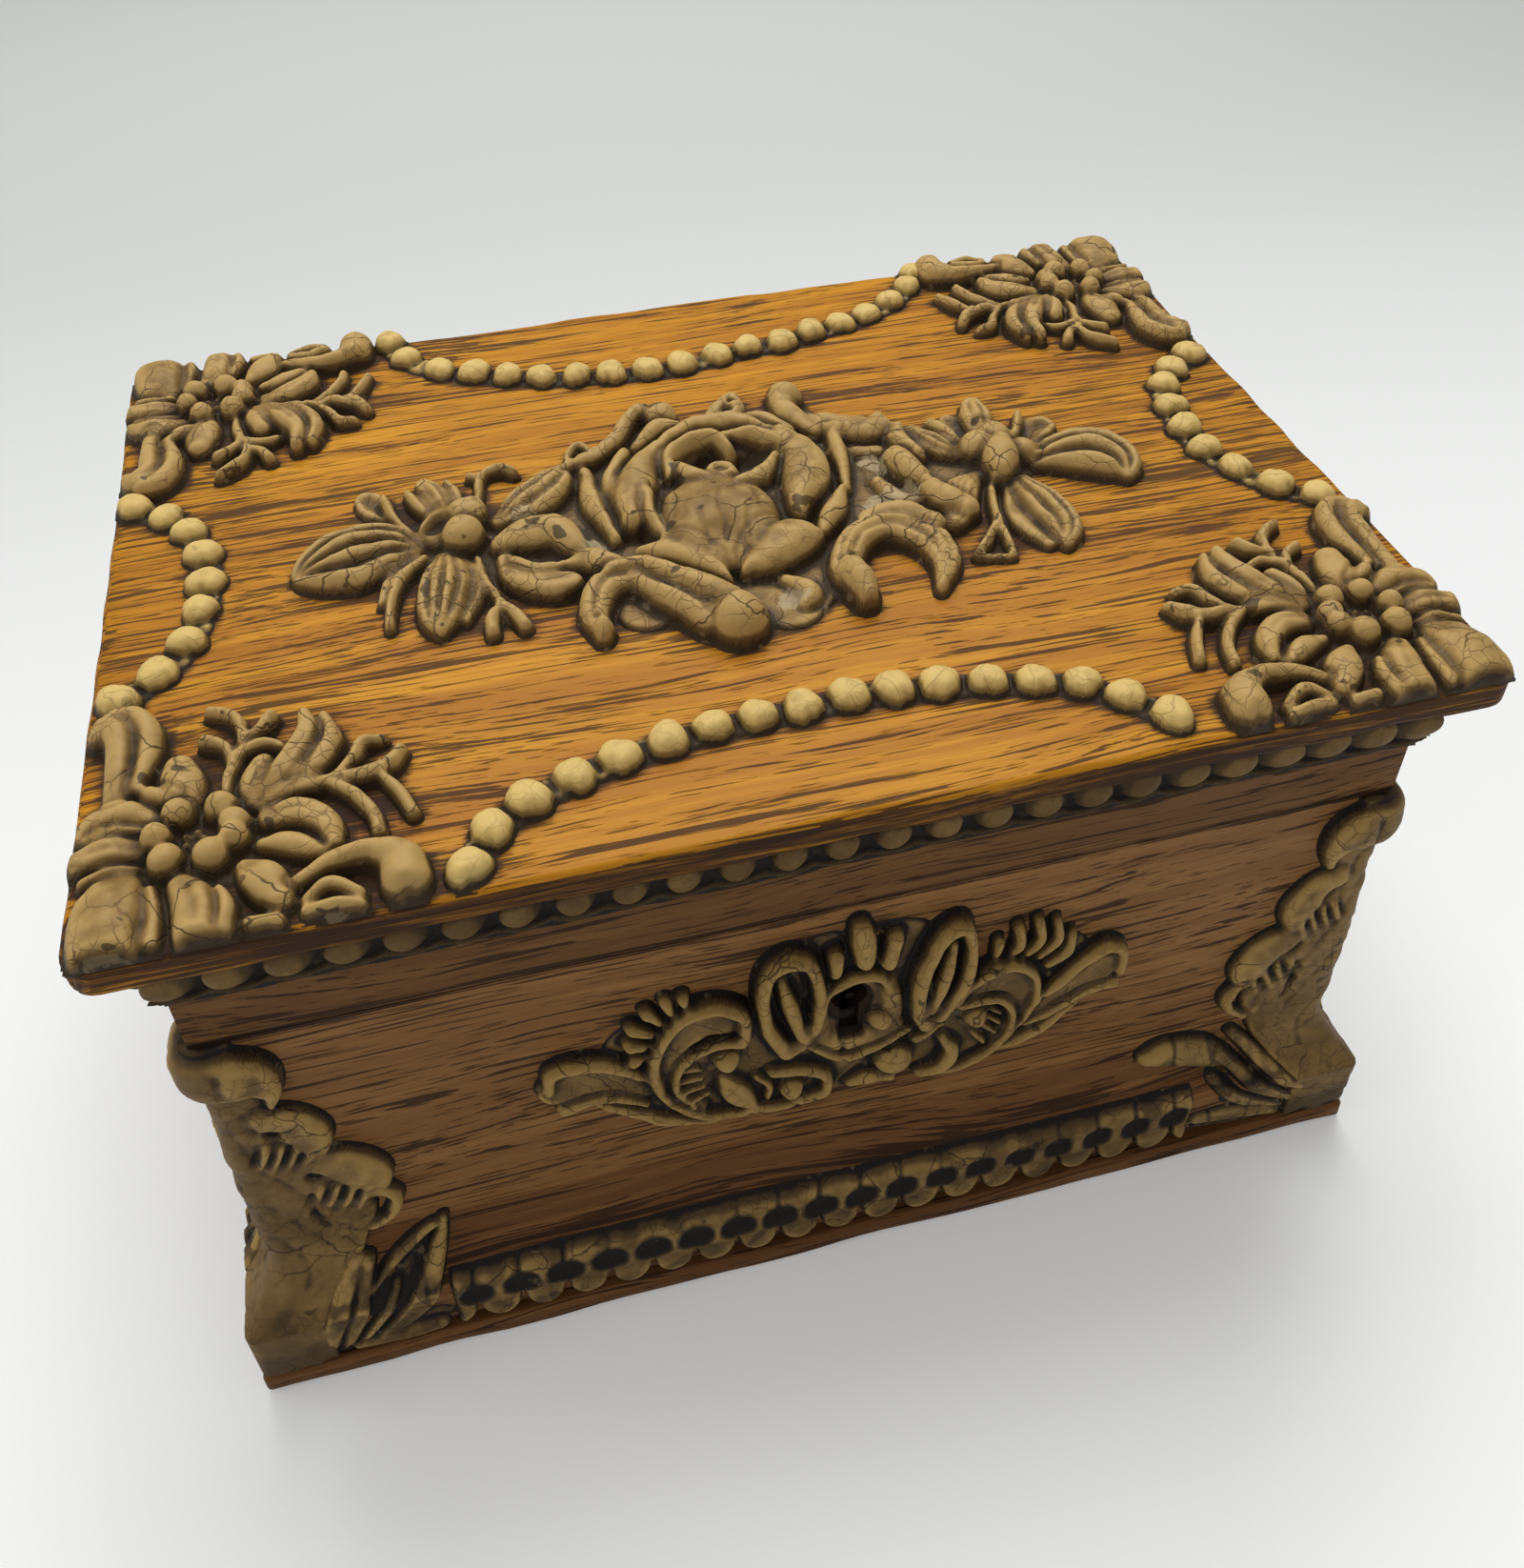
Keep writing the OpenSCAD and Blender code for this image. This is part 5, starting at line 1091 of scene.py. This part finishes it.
# Centre spray. A full rose stands between two open flowers, each with ribbed leaves and slim
# stamens, over rolled scrolls that curl out from under it.
def centre_spray():
    """The spray over the lid's x and y, laid down from the lowest part to the highest."""
    o = Relief(-110, 108, -56, 52, 0.5)
    for x, y, r in ((-2, 5, 34), (-36, 2, 22), (38, 0, 22), (-50, -8, 14), (54, -2, 14),
                    (-70, 3, 12), (71, 2, 12), (2, -30, 18), (20, 28, 14), (-18, 28, 12),
                    (4, -42, 8), (-28, -34, 8)):
        o.berry(x, y, r, 1.3, flat=0.12, gap=0)

    # left flower
    o.leaf([(-78, 6, 1.3, 3), (-83, 14, 1.4, 3.6), (-87, 21, 4.4, 4.6), (-88.6, 24.5, 4, 4.2)],
           cup=0.75)
    o.leaf([(-79, 6, 1.2, 3.4), (-83, 14, 1.5, 4.6), (-85, 22, 1.4, 5)])
    o.leaf([(-63, 9, 1.3, 3.4), (-61.6, 19, 1.3, 4), (-60, 27, 1.6, 4.4), (-55, 29, 1.7, 4.4),
            (-51.6, 26.6, 1.5, 4)])
    o.leaf([(-60, 26, 1.3, 3.6), (-63, 28, 1.3, 3.8)])
    o.leaf([(-79, -3, 2.2, 3.6), (-84.6, -9.6, 2.4, 4), (-88, -18, 1.2, 3)])
    o.leaf([(-77, -4, 2, 4), (-83, -11, 1.8, 4.4), (-85.8, -20, 1.4, 4), (-86.6, -27, 1.4, 3.8)])
    o.leaf([(-64.6, -7, 1.2, 3.4), (-63, -18, 1.2, 4), (-61, -26, 1.6, 4.4)])
    o.leaf([(-61, -25.5, 1.7, 4.2), (-63.6, -31, 2, 4.6), (-64, -35, 1.9, 4)])
    o.leaf([(-60.8, -26, 1.7, 4.2), (-58, -31, 2, 4.6), (-56.6, -34.6, 1.9, 4)])
    o.leaf([(-68, -7, 2, 3), (-65.8, -18, 3, 4), (-69.5, -29, 1.4, 3)])
    o.leaf([(-72, -5, 3.4, 4), (-73, -16, 6.6, 7), (-75, -26, 5.4, 6.4), (-75.4, -32, 1.6, 4)],
           ribs=4, rib=0.42)
    o.leaf([(-73, 12, 2, 3.6), (-77, 19, 2.2, 4.4), (-79, 24.6, 1.3, 3.6)])
    o.leaf([(-66.8, 13, 2, 3.4), (-67.6, 21, 2.4, 4), (-69, 27, 1.2, 3.2)])
    o.leaf([(-70, 13, 2.8, 4.4), (-72.4, 21, 3.8, 5.4), (-74.6, 27.4, 2.8, 4)], ribs=3, rib=0.35)
    o.leaf([(-79, 1, 3, 4), (-86, 2.4, 9.6, 6.6), (-94, 0.5, 11.8, 7.6), (-101, -1.6, 7.6, 6.4),
            (-106, -3.4, 2, 4)], ribs=4, rib=0.55)
    o.leaf([(-58, 6, 2.4, 4), (-50, 11, 6.6, 6.6), (-42.5, 17, 5.6, 7.4), (-40, 21.6, 2, 6)],
           ribs=3, rib=0.3)
    o.leaf([(-58, -9, 2.4, 4), (-55.6, -17, 4.4, 6), (-49, -22, 5, 6.6), (-44, -23, 3.4, 6)],
           cup=0.2)
    o.leaf([(-56, -12, 1.8, 5), (-51, -17, 1.8, 5.6), (-45, -17.6, 1.6, 5.6)])
    o.leaf([(-58.6, -4, 3, 5), (-51, -2.6, 6, 7.4), (-44.6, -4.4, 5.6, 8), (-41, -11, 3.4, 6.4)])
    o.berry(-69.5, 6.5, 8.6, 5.6, flat=0.35)
    o.berry(-65, 9.6, 5, 3.6, base=4.0)
    o.berry(-67, 0.4, 5.4, 5.6, base=3.6, gap=1.4)
    o.pit(-73, 7.4, 3.6, 4.6)

    # right flower
    o.leaf([(79, 4, 2.4, 4), (84, 9, 5.6, 5), (88.6, 12, 4.2, 4.4)], cup=0.8)
    o.leaf([(78, 6, 1.4, 4), (81.6, 12, 1.5, 5), (84, 17.4, 1.4, 4.6)])
    o.leaf([(66, 11, 2.4, 3), (66, 18, 4.4, 3.6), (65.6, 22, 2.4, 2.8)], cup=0.7)
    o.leaf([(71, 10, 3, 4.4), (72.4, 18, 4.8, 5.6), (73.6, 25, 3.4, 4.4)], ribs=3, rib=0.38)
    o.leaf([(65, -12, 1.5, 3.6), (62, -23, 1.5, 4.4), (60.6, -38.6, 1.2, 3.6)])
    o.leaf([(61.6, -26, 1.4, 4), (56.6, -32.4, 1.5, 4.2), (52, -37.2, 1.4, 3.8)])
    o.leaf([(52, -37.4, 1, 2.6), (56, -38.6, 1, 2.8), (60.6, -39.4, 1, 2.6)])
    o.leaf([(70, -14, 2.6, 4), (67.6, -26, 4, 5), (70.6, -37, 2, 3.6)], cup=0.3)
    o.leaf([(73, -13, 3.4, 4.4), (74.6, -24, 6, 7), (76, -33, 5, 6.4), (74.6, -38.6, 1.8, 4)],
           ribs=3, rib=0.45)
    o.leaf([(80, -4, 3, 4.4), (88, -3, 7.4, 6.4), (96, -5, 9.6, 7.6), (100.6, -11, 6.4, 6.8),
            (100.6, -16.6, 1.8, 4.4)], ribs=3, rib=0.5)
    o.leaf([(50, 19, 2.6, 5), (48.6, 12, 3.6, 6.6), (51, 4.6, 2.6, 6)])
    o.leaf([(53.6, 17, 2, 4.6), (57, 9, 5, 6), (62, 3.4, 2.6, 5)], ribs=4, rib=0.4)
    o.leaf([(60, 19.6, 2, 4), (62, 13, 2.6, 4.8), (64, 7, 2, 4.4)], ribs=1)
    o.leaf([(62.6, -7, 2.6, 4), (57, -12, 5, 5.4), (53, -20, 5, 5.6), (50, -24.6, 2.4, 4.6)],
           ribs=5, rib=0.35)
    o.leaf([(48.6, -10, 3.4, 7), (51, -16, 4.6, 7.8), (55, -20, 4.2, 6.6)])
    o.berry(74, 9.6, 5.4, 6)
    o.berry(78, 0, 5.4, 6.4)
    o.berry(67, 3.4, 5.8, 7.4, base=1.0, gap=1.4)
    o.leaf([(72, 0.4, 4.6, 8.4), (70, -5, 5.4, 9.6), (68.6, -9, 4, 8)], base=0.6, gap=1.4)

    # scrolls above the rose
    o.leaf([(2.6, 33, 4.4, 4.6), (8, 40, 5.6, 5.6), (11.4, 46, 2.6, 4.4)], ribs=2)
    for x, y in ((3.4, 36), (8.4, 38.6), (10.6, 43), (6.8, 43.6)):
        o.pit(x, y, 1.3, 2.2)
    o.leaf([(24, 29, 4, 4.6), (34, 24.6, 5.4, 5.4), (44, 21, 5.4, 5.2), (47, 25.6, 2.4, 4.6)])
    o.leaf([(30, 13.4, 2.4, 3), (42.6, 11.6, 2.4, 3)], power=0.3)
    o.leaf([(25, 43, 5.2, 6.4), (23.4, 36, 4.2, 6.6), (25, 29, 4.2, 6), (29, 24, 3, 4.6)])
    o.berry(25, 41.4, 5.4, 7.8, gap=0.5)
    o.leaf([(-46, 22, 1.6, 4), (-34, 25, 2.8, 5.4), (-25, 31, 2.8, 6), (-19, 40, 2.6, 6.4),
            (-14, 44.6, 2.4, 6.4)])
    o.leaf([(-37.4, 22, 1.3, 3.4), (-37, 30, 1.4, 4), (-33, 33.6, 1.4, 4), (-30.4, 28, 1.3, 3.6)])
    o.berry(-10, 41, 5.2, 7.4)
    o.leaf([(-19, 28, 2, 5), (-12, 33.4, 3.6, 7), (-5, 32, 2, 6)])
    o.leaf([(7.6, 32, 2, 6), (15, 29.4, 3.4, 7.6), (20.6, 22.4, 3, 7)])

    # scrolls below the rose
    o.leaf([(33, 22, 2.4, 4), (31.4, 9, 2.6, 5.4), (29, -4, 1.6, 4.6)])
    o.leaf([(38, -2, 2.4, 3.2), (41, -10, 3, 3.6), (48, -14, 2.4, 3.2)], gap=0.6)
    o.leaf([(44.6, 4, 4, 7.6), (45.4, -1, 4.6, 8.8), (47.6, -6.4, 3.6, 7.6)], gap=1.3)
    o.leaf([(17.6, -20, 1.8, 4), (23, -12.6, 3.6, 6), (27.6, -5, 1.8, 5)])
    o.leaf([(5, -34, 2, 3.6), (9.4, -40, 3.2, 4.4), (7, -44, 1.8, 3.4)], ribs=1)
    o.leaf([(21, -46, 3.4, 6), (19.4, -36, 4.4, 7), (24.6, -26, 4.6, 7.2), (33.6, -22, 5, 7),
            (41.6, -28, 5.4, 6.6), (43.6, -37.6, 4.2, 5.8), (39.4, -47, 1.6, 4)], ribs=3, rib=0.22)
    o.leaf([(20.6, -38, 4, 8.6), (21, -43, 4.2, 9), (21, -47, 3, 7.4)], gap=1.2)
    o.leaf([(30, -18.6, 3, 6), (38, -19, 4.6, 7), (45.4, -24.6, 3.4, 6.4)], power=0.35)
    o.leaf([(-43.6, -17, 2.4, 5), (-38, -17, 4.4, 6.6), (-31, -23, 3.4, 6.8)])
    o.leaf([(-40, -43, 2.6, 5), (-40.6, -35, 4, 6.2), (-36.6, -27.6, 5, 7), (-29, -26.6, 5, 7.4),
            (-21.6, -35, 5.4, 7.6), (-14, -44, 6.4, 8)], ribs=2, rib=0.25)
    o.leaf([(-34.6, -24, 2.6, 7.6), (-27, -25, 3.2, 8.4), (-19, -32, 3.6, 8.8), (-12.6, -39, 5, 9),
            (-9.4, -46, 6, 8.6)])
    o.berry(-9.4, -47, 7.4, 10.2, gap=0.4)
    o.berry(-39.8, -41.6, 3, 6.6)

    # rose
    o.leaf([(-34, 20, 2.6, 4.6), (-33.6, 6, 3.8, 6), (-31, -9, 2, 4.6)], ribs=1)
    o.leaf([(-23, 24.6, 2.4, 6), (-28, 13, 3.4, 7), (-29, 2, 2.6, 6)])
    o.berry(-2, 6, 25, 5.4, flat=0.25, gap=0.6)
    o.leaf([(-12.6, 24, 3, 8), (-19, 15, 5.4, 9.4), (-24, 4, 6, 9.6), (-26, -6, 3.6, 8.4)],
           power=0.34)
    o.leaf([(-11, 25.6, 2.8, 8), (-3, 28.4, 4, 9.4), (7, 27.6, 4.4, 9.6), (15, 22, 3, 8.4)],
           power=0.34)
    o.leaf([(17.6, 19, 4.4, 9), (20.6, 9, 6.6, 10), (19, -1, 7, 9.8), (15, -10, 3.6, 8.4),
            (14, -14.6, 1.6, 7)], power=0.34)
    o.leaf([(3.4, 21.8, 2.2, 9), (10, 20.4, 2.8, 9.8), (16.6, 15.6, 3, 9.4)])
    o.leaf([(-14, 8, 2, 8.6), (-12.6, 15, 3, 9.6), (-7, 20.4, 3.2, 10.2), (0, 21.4, 3, 10),
            (3.6, 16, 2.2, 9)])
    o.pit(-4, 13.4, 6.4, 5.4)
    o.pit(7.6, 11.6, 5, 5)
    o.leaf([(-11, 11, 2.4, 8.6), (-8.4, 6, 4, 9.8), (-4.6, 2.4, 3, 9.4)])
    o.berry(-1, 6, 4.6, 3.4, base=6.0)
    o.pit(-1, 6.6, 2.2, 2.2)
    o.leaf([(14, 9, 1.6, 9), (8.6, 2, 3.4, 9.6), (2, -0.6, 3, 9.6)])
    o.leaf([(-5.4, -4.6, 12.4, 9.6), (-5.8, -10, 15.6, 11.3), (-6, -15, 14.4, 10.2),
            (-6.4, -21, 9, 7.4)], power=0.3, gap=0.5)
    for line in (((-4.6, -7), (-5.6, -11), (-5.2, -16), (-6.2, -23)), ((-15, -4), (-17, -12)),
                 ((4.6, -6), (4.4, -13)), ((-11, -12), (-10.4, -20)), ((1.2, -14), (-0.4, -20))):
        o.score(line, 0.45, 0.7)
    o.leaf([(-20.6, 1.6, 2, 9), (-21.8, -7, 2.2, 9.6), (-20, -16, 1.6, 7.6)], gap=0.7)
    o.leaf([(-26.6, -16.6, 1.6, 6), (-19.6, -19.8, 4, 8.2), (-12.6, -25.4, 4, 8),
            (-8, -33, 1.2, 6)], cup=0.12, power=0.5)
    o.leaf([(-4.4, -31, 1.2, 5.6), (3, -26, 6.6, 8), (10, -22.4, 6.8, 8.6),
            (16.6, -22.6, 1.6, 6.2)], power=0.45)
    bare = sum(np.exp(-((o.x - x) ** 2 + (o.y - y) ** 2) / r ** 2) for x, y, r in
               ((4, -41, 5), (36, -12, 7), (-37, -9, 5), (41, 6, 7), (46, -9, 5), (-52, 6, 4)))
    bare = bare * (o.h < 5.4)
    return o.finish("centre_spray_paste", on_lid(), 160, rough=0.17, limit=11.8, bare=bare)


seat(centre_spray(), "lid", "centre_spray", lid_paste)


# Dark polish round the feet of the ornaments. Wax and dust that no cloth reaches have stained the
# varnish there, so the lid board carries that as an attribute.
spots = np.concatenate(footprints)
bins = (np.arange(-LID_W / 2, LID_W / 2 + 1, 1.0), np.arange(-LID_D / 2 - 0.5, LID_D / 2 + 1, 1.0))
cover, _, _ = np.histogram2d(spots[:, 0], spots[:, 1], bins=bins)
cover = (cover > 0).astype(float)
drawn = sum(np.roll(cover, k, 0) for k in range(-12, 13, 3)) / 9
near_foot = np.clip(soften(cover, 1.4) * 1.1 + soften(drawn, 2.0) * 0.6, 0, 1)
count = len(lid_board.data.vertices)
place = np.empty(3 * count)
lid_board.data.vertices.foreach_get("co", place)
place = place.reshape(-1, 3) / MM
ix = np.clip((place[:, 0] - bins[0][0]).astype(int), 0, cover.shape[0] - 1)
iy = np.clip((place[:, 1] - bins[1][0]).astype(int), 0, cover.shape[1] - 1)
ends = 0.42 * np.clip((np.abs(place[:, 0]) - 50) / 60, 0, 1)
# The board's edge faces below the top are darker (0.8), and its underside a little (0.15).
soot_and_shade = np.where(place[:, 2] > LID_TOP - 1.2, np.maximum(near_foot[ix, iy], ends), 0.8)
soot_and_shade = np.where(place[:, 2] < LID_LOW + 0.4, 0.15, soot_and_shade)
layer = lid_board.data.attributes.new("soot_and_shade", "FLOAT", "POINT")
layer.data.foreach_set("value", soot_and_shade.astype(np.float32))


# Studio. The box stands on a pale sweep under a broad soft light from above and behind, with a
# weaker fill from the front, and the camera looks down on its front left corner.
def sweep_floor():
    """A floor that curves up into a wall: a profile of y and z carried along x."""
    t = np.linspace(0, np.pi / 2, 12)
    y = np.concatenate([[-4.0], 2.6 + 0.8 * np.sin(t), [3.4]])
    z = np.concatenate([[0.0], 0.8 - 0.8 * np.cos(t), [4.0]]) - 0.0002
    x = np.linspace(-5, 5, 3)
    points = np.stack(np.broadcast_arrays(x[:, None], y[None], z[None]), -1)
    quads = grid_quads(np.arange(x.size * y.size).reshape(x.size, y.size))
    mesh = bpy.data.meshes.new("studio_sweep")
    mesh.from_pydata(points.reshape(-1, 3).tolist(), [], quads.tolist())
    return show("studio_sweep", mesh)


floor = sweep_floor()
paper, tree, shader = new_finish("pale_paper")
place = put(tree, "TexCoord").outputs["Object"]
fleck = noise(tree, place, 3.0, 2.0)
depth = put(tree, "SeparateXYZ", {0: place}).outputs[1]
# The paper's colour darkens towards the back wall: painted shade.
colour = blend(tree, window(tree, depth, -0.45, 0.7), (0.93, 0.94, 0.93, 1), (0.52, 0.53, 0.52, 1))
tree.links.new(blend(tree, math(tree, "MULTIPLY", fleck, 0.1), colour, (0.6, 0.6, 0.6, 1)),
               shader.inputs["Base Color"])
shader.inputs["Roughness"].default_value = 0.9
# For camera rays only, the paper glows, most in front of the box: painted light that lifts the
# floor and the box's shadow on it.
seen = put(tree, "LightPath").outputs["Is Camera Ray"]
painted_glow = window(tree, depth, -0.3, 0.6, 0.235, 0.03)
tree.links.new(math(tree, "MULTIPLY", seen, painted_glow), shader.inputs["Emission Strength"])
shader.inputs["Emission Color"].default_value = (1, 1, 1, 1)
floor.data.materials.append(paper)


def lamp(name, place, aim, size, power):
    """A square area lamp pointed at a place."""
    data = bpy.data.lights.new(name, "AREA")
    data.shape, data.size, data.energy = "SQUARE", size, power
    made = show(name, data)
    way = np.asarray(aim, float) - place
    way /= np.linalg.norm(way)
    made.location = place
    made.rotation_euler = mathutils.Vector(way).to_track_quat("-Z", "Y").to_euler()


lamp("top_lamp", (0.15, 0.75, 1.5), (0, 0, 0.1), 1.3, 24)
lamp("side_lamp", (-1.3, 0.1, 1.0), (0, 0, 0.1), 1.0, 5)
lamp("front_lamp", (-0.4, -1.6, 0.9), (0, 0, 0.08), 1.4, 2.2)

world = bpy.data.worlds.new("studio_air")
bpy.context.scene.world = world
world.use_nodes = True
tree = world.node_tree
sky = tree.nodes["Background"]
path = put(tree, "LightPath")
bright = math(tree, "MULTIPLY", path.outputs["Is Camera Ray"], 0.55)
bright = math(tree, "MAXIMUM", bright, math(tree, "MULTIPLY", path.outputs["Is Glossy Ray"], 0.2))
tree.links.new(math(tree, "ADD", bright, 0.3), sky.inputs["Strength"])
sky.inputs["Color"].default_value = (1, 1, 1, 1)

YAW, PITCH, ROLL = 0.241, 0.691, -0.017
LENS_AT = (-65.94, -299.17, 398.57)
FOCAL_PX, LONG_SIDE, CENTRE_Y = 1572.675, 1646.0, 623.0
ahead = np.array([np.sin(YAW) * np.cos(PITCH), np.cos(YAW) * np.cos(PITCH), -np.sin(PITCH)])
right = np.array([np.cos(YAW), -np.sin(YAW), 0.0])
up = np.cross(right, ahead)
data = bpy.data.cameras.new("camera")
data.sensor_fit = "AUTO"
data.sensor_width = 36.0
data.lens = 36.0 * FOCAL_PX / LONG_SIDE
data.shift_y = -(LONG_SIDE / 2 - CENTRE_Y) / LONG_SIDE
data.clip_start, data.clip_end = 0.01, 30.0
camera = show("camera", data)
columns = (right * np.cos(ROLL) + up * np.sin(ROLL), up * np.cos(ROLL) - right * np.sin(ROLL),
           -ahead)
turn = mathutils.Matrix([[float(c[i]) for c in columns] for i in range(3)])
camera.matrix_world = mathutils.Matrix.Translation(np.array(LENS_AT) * MM) @ turn.to_4x4()
bpy.context.scene.camera = camera
bpy.context.scene.view_settings.view_transform = "Standard"
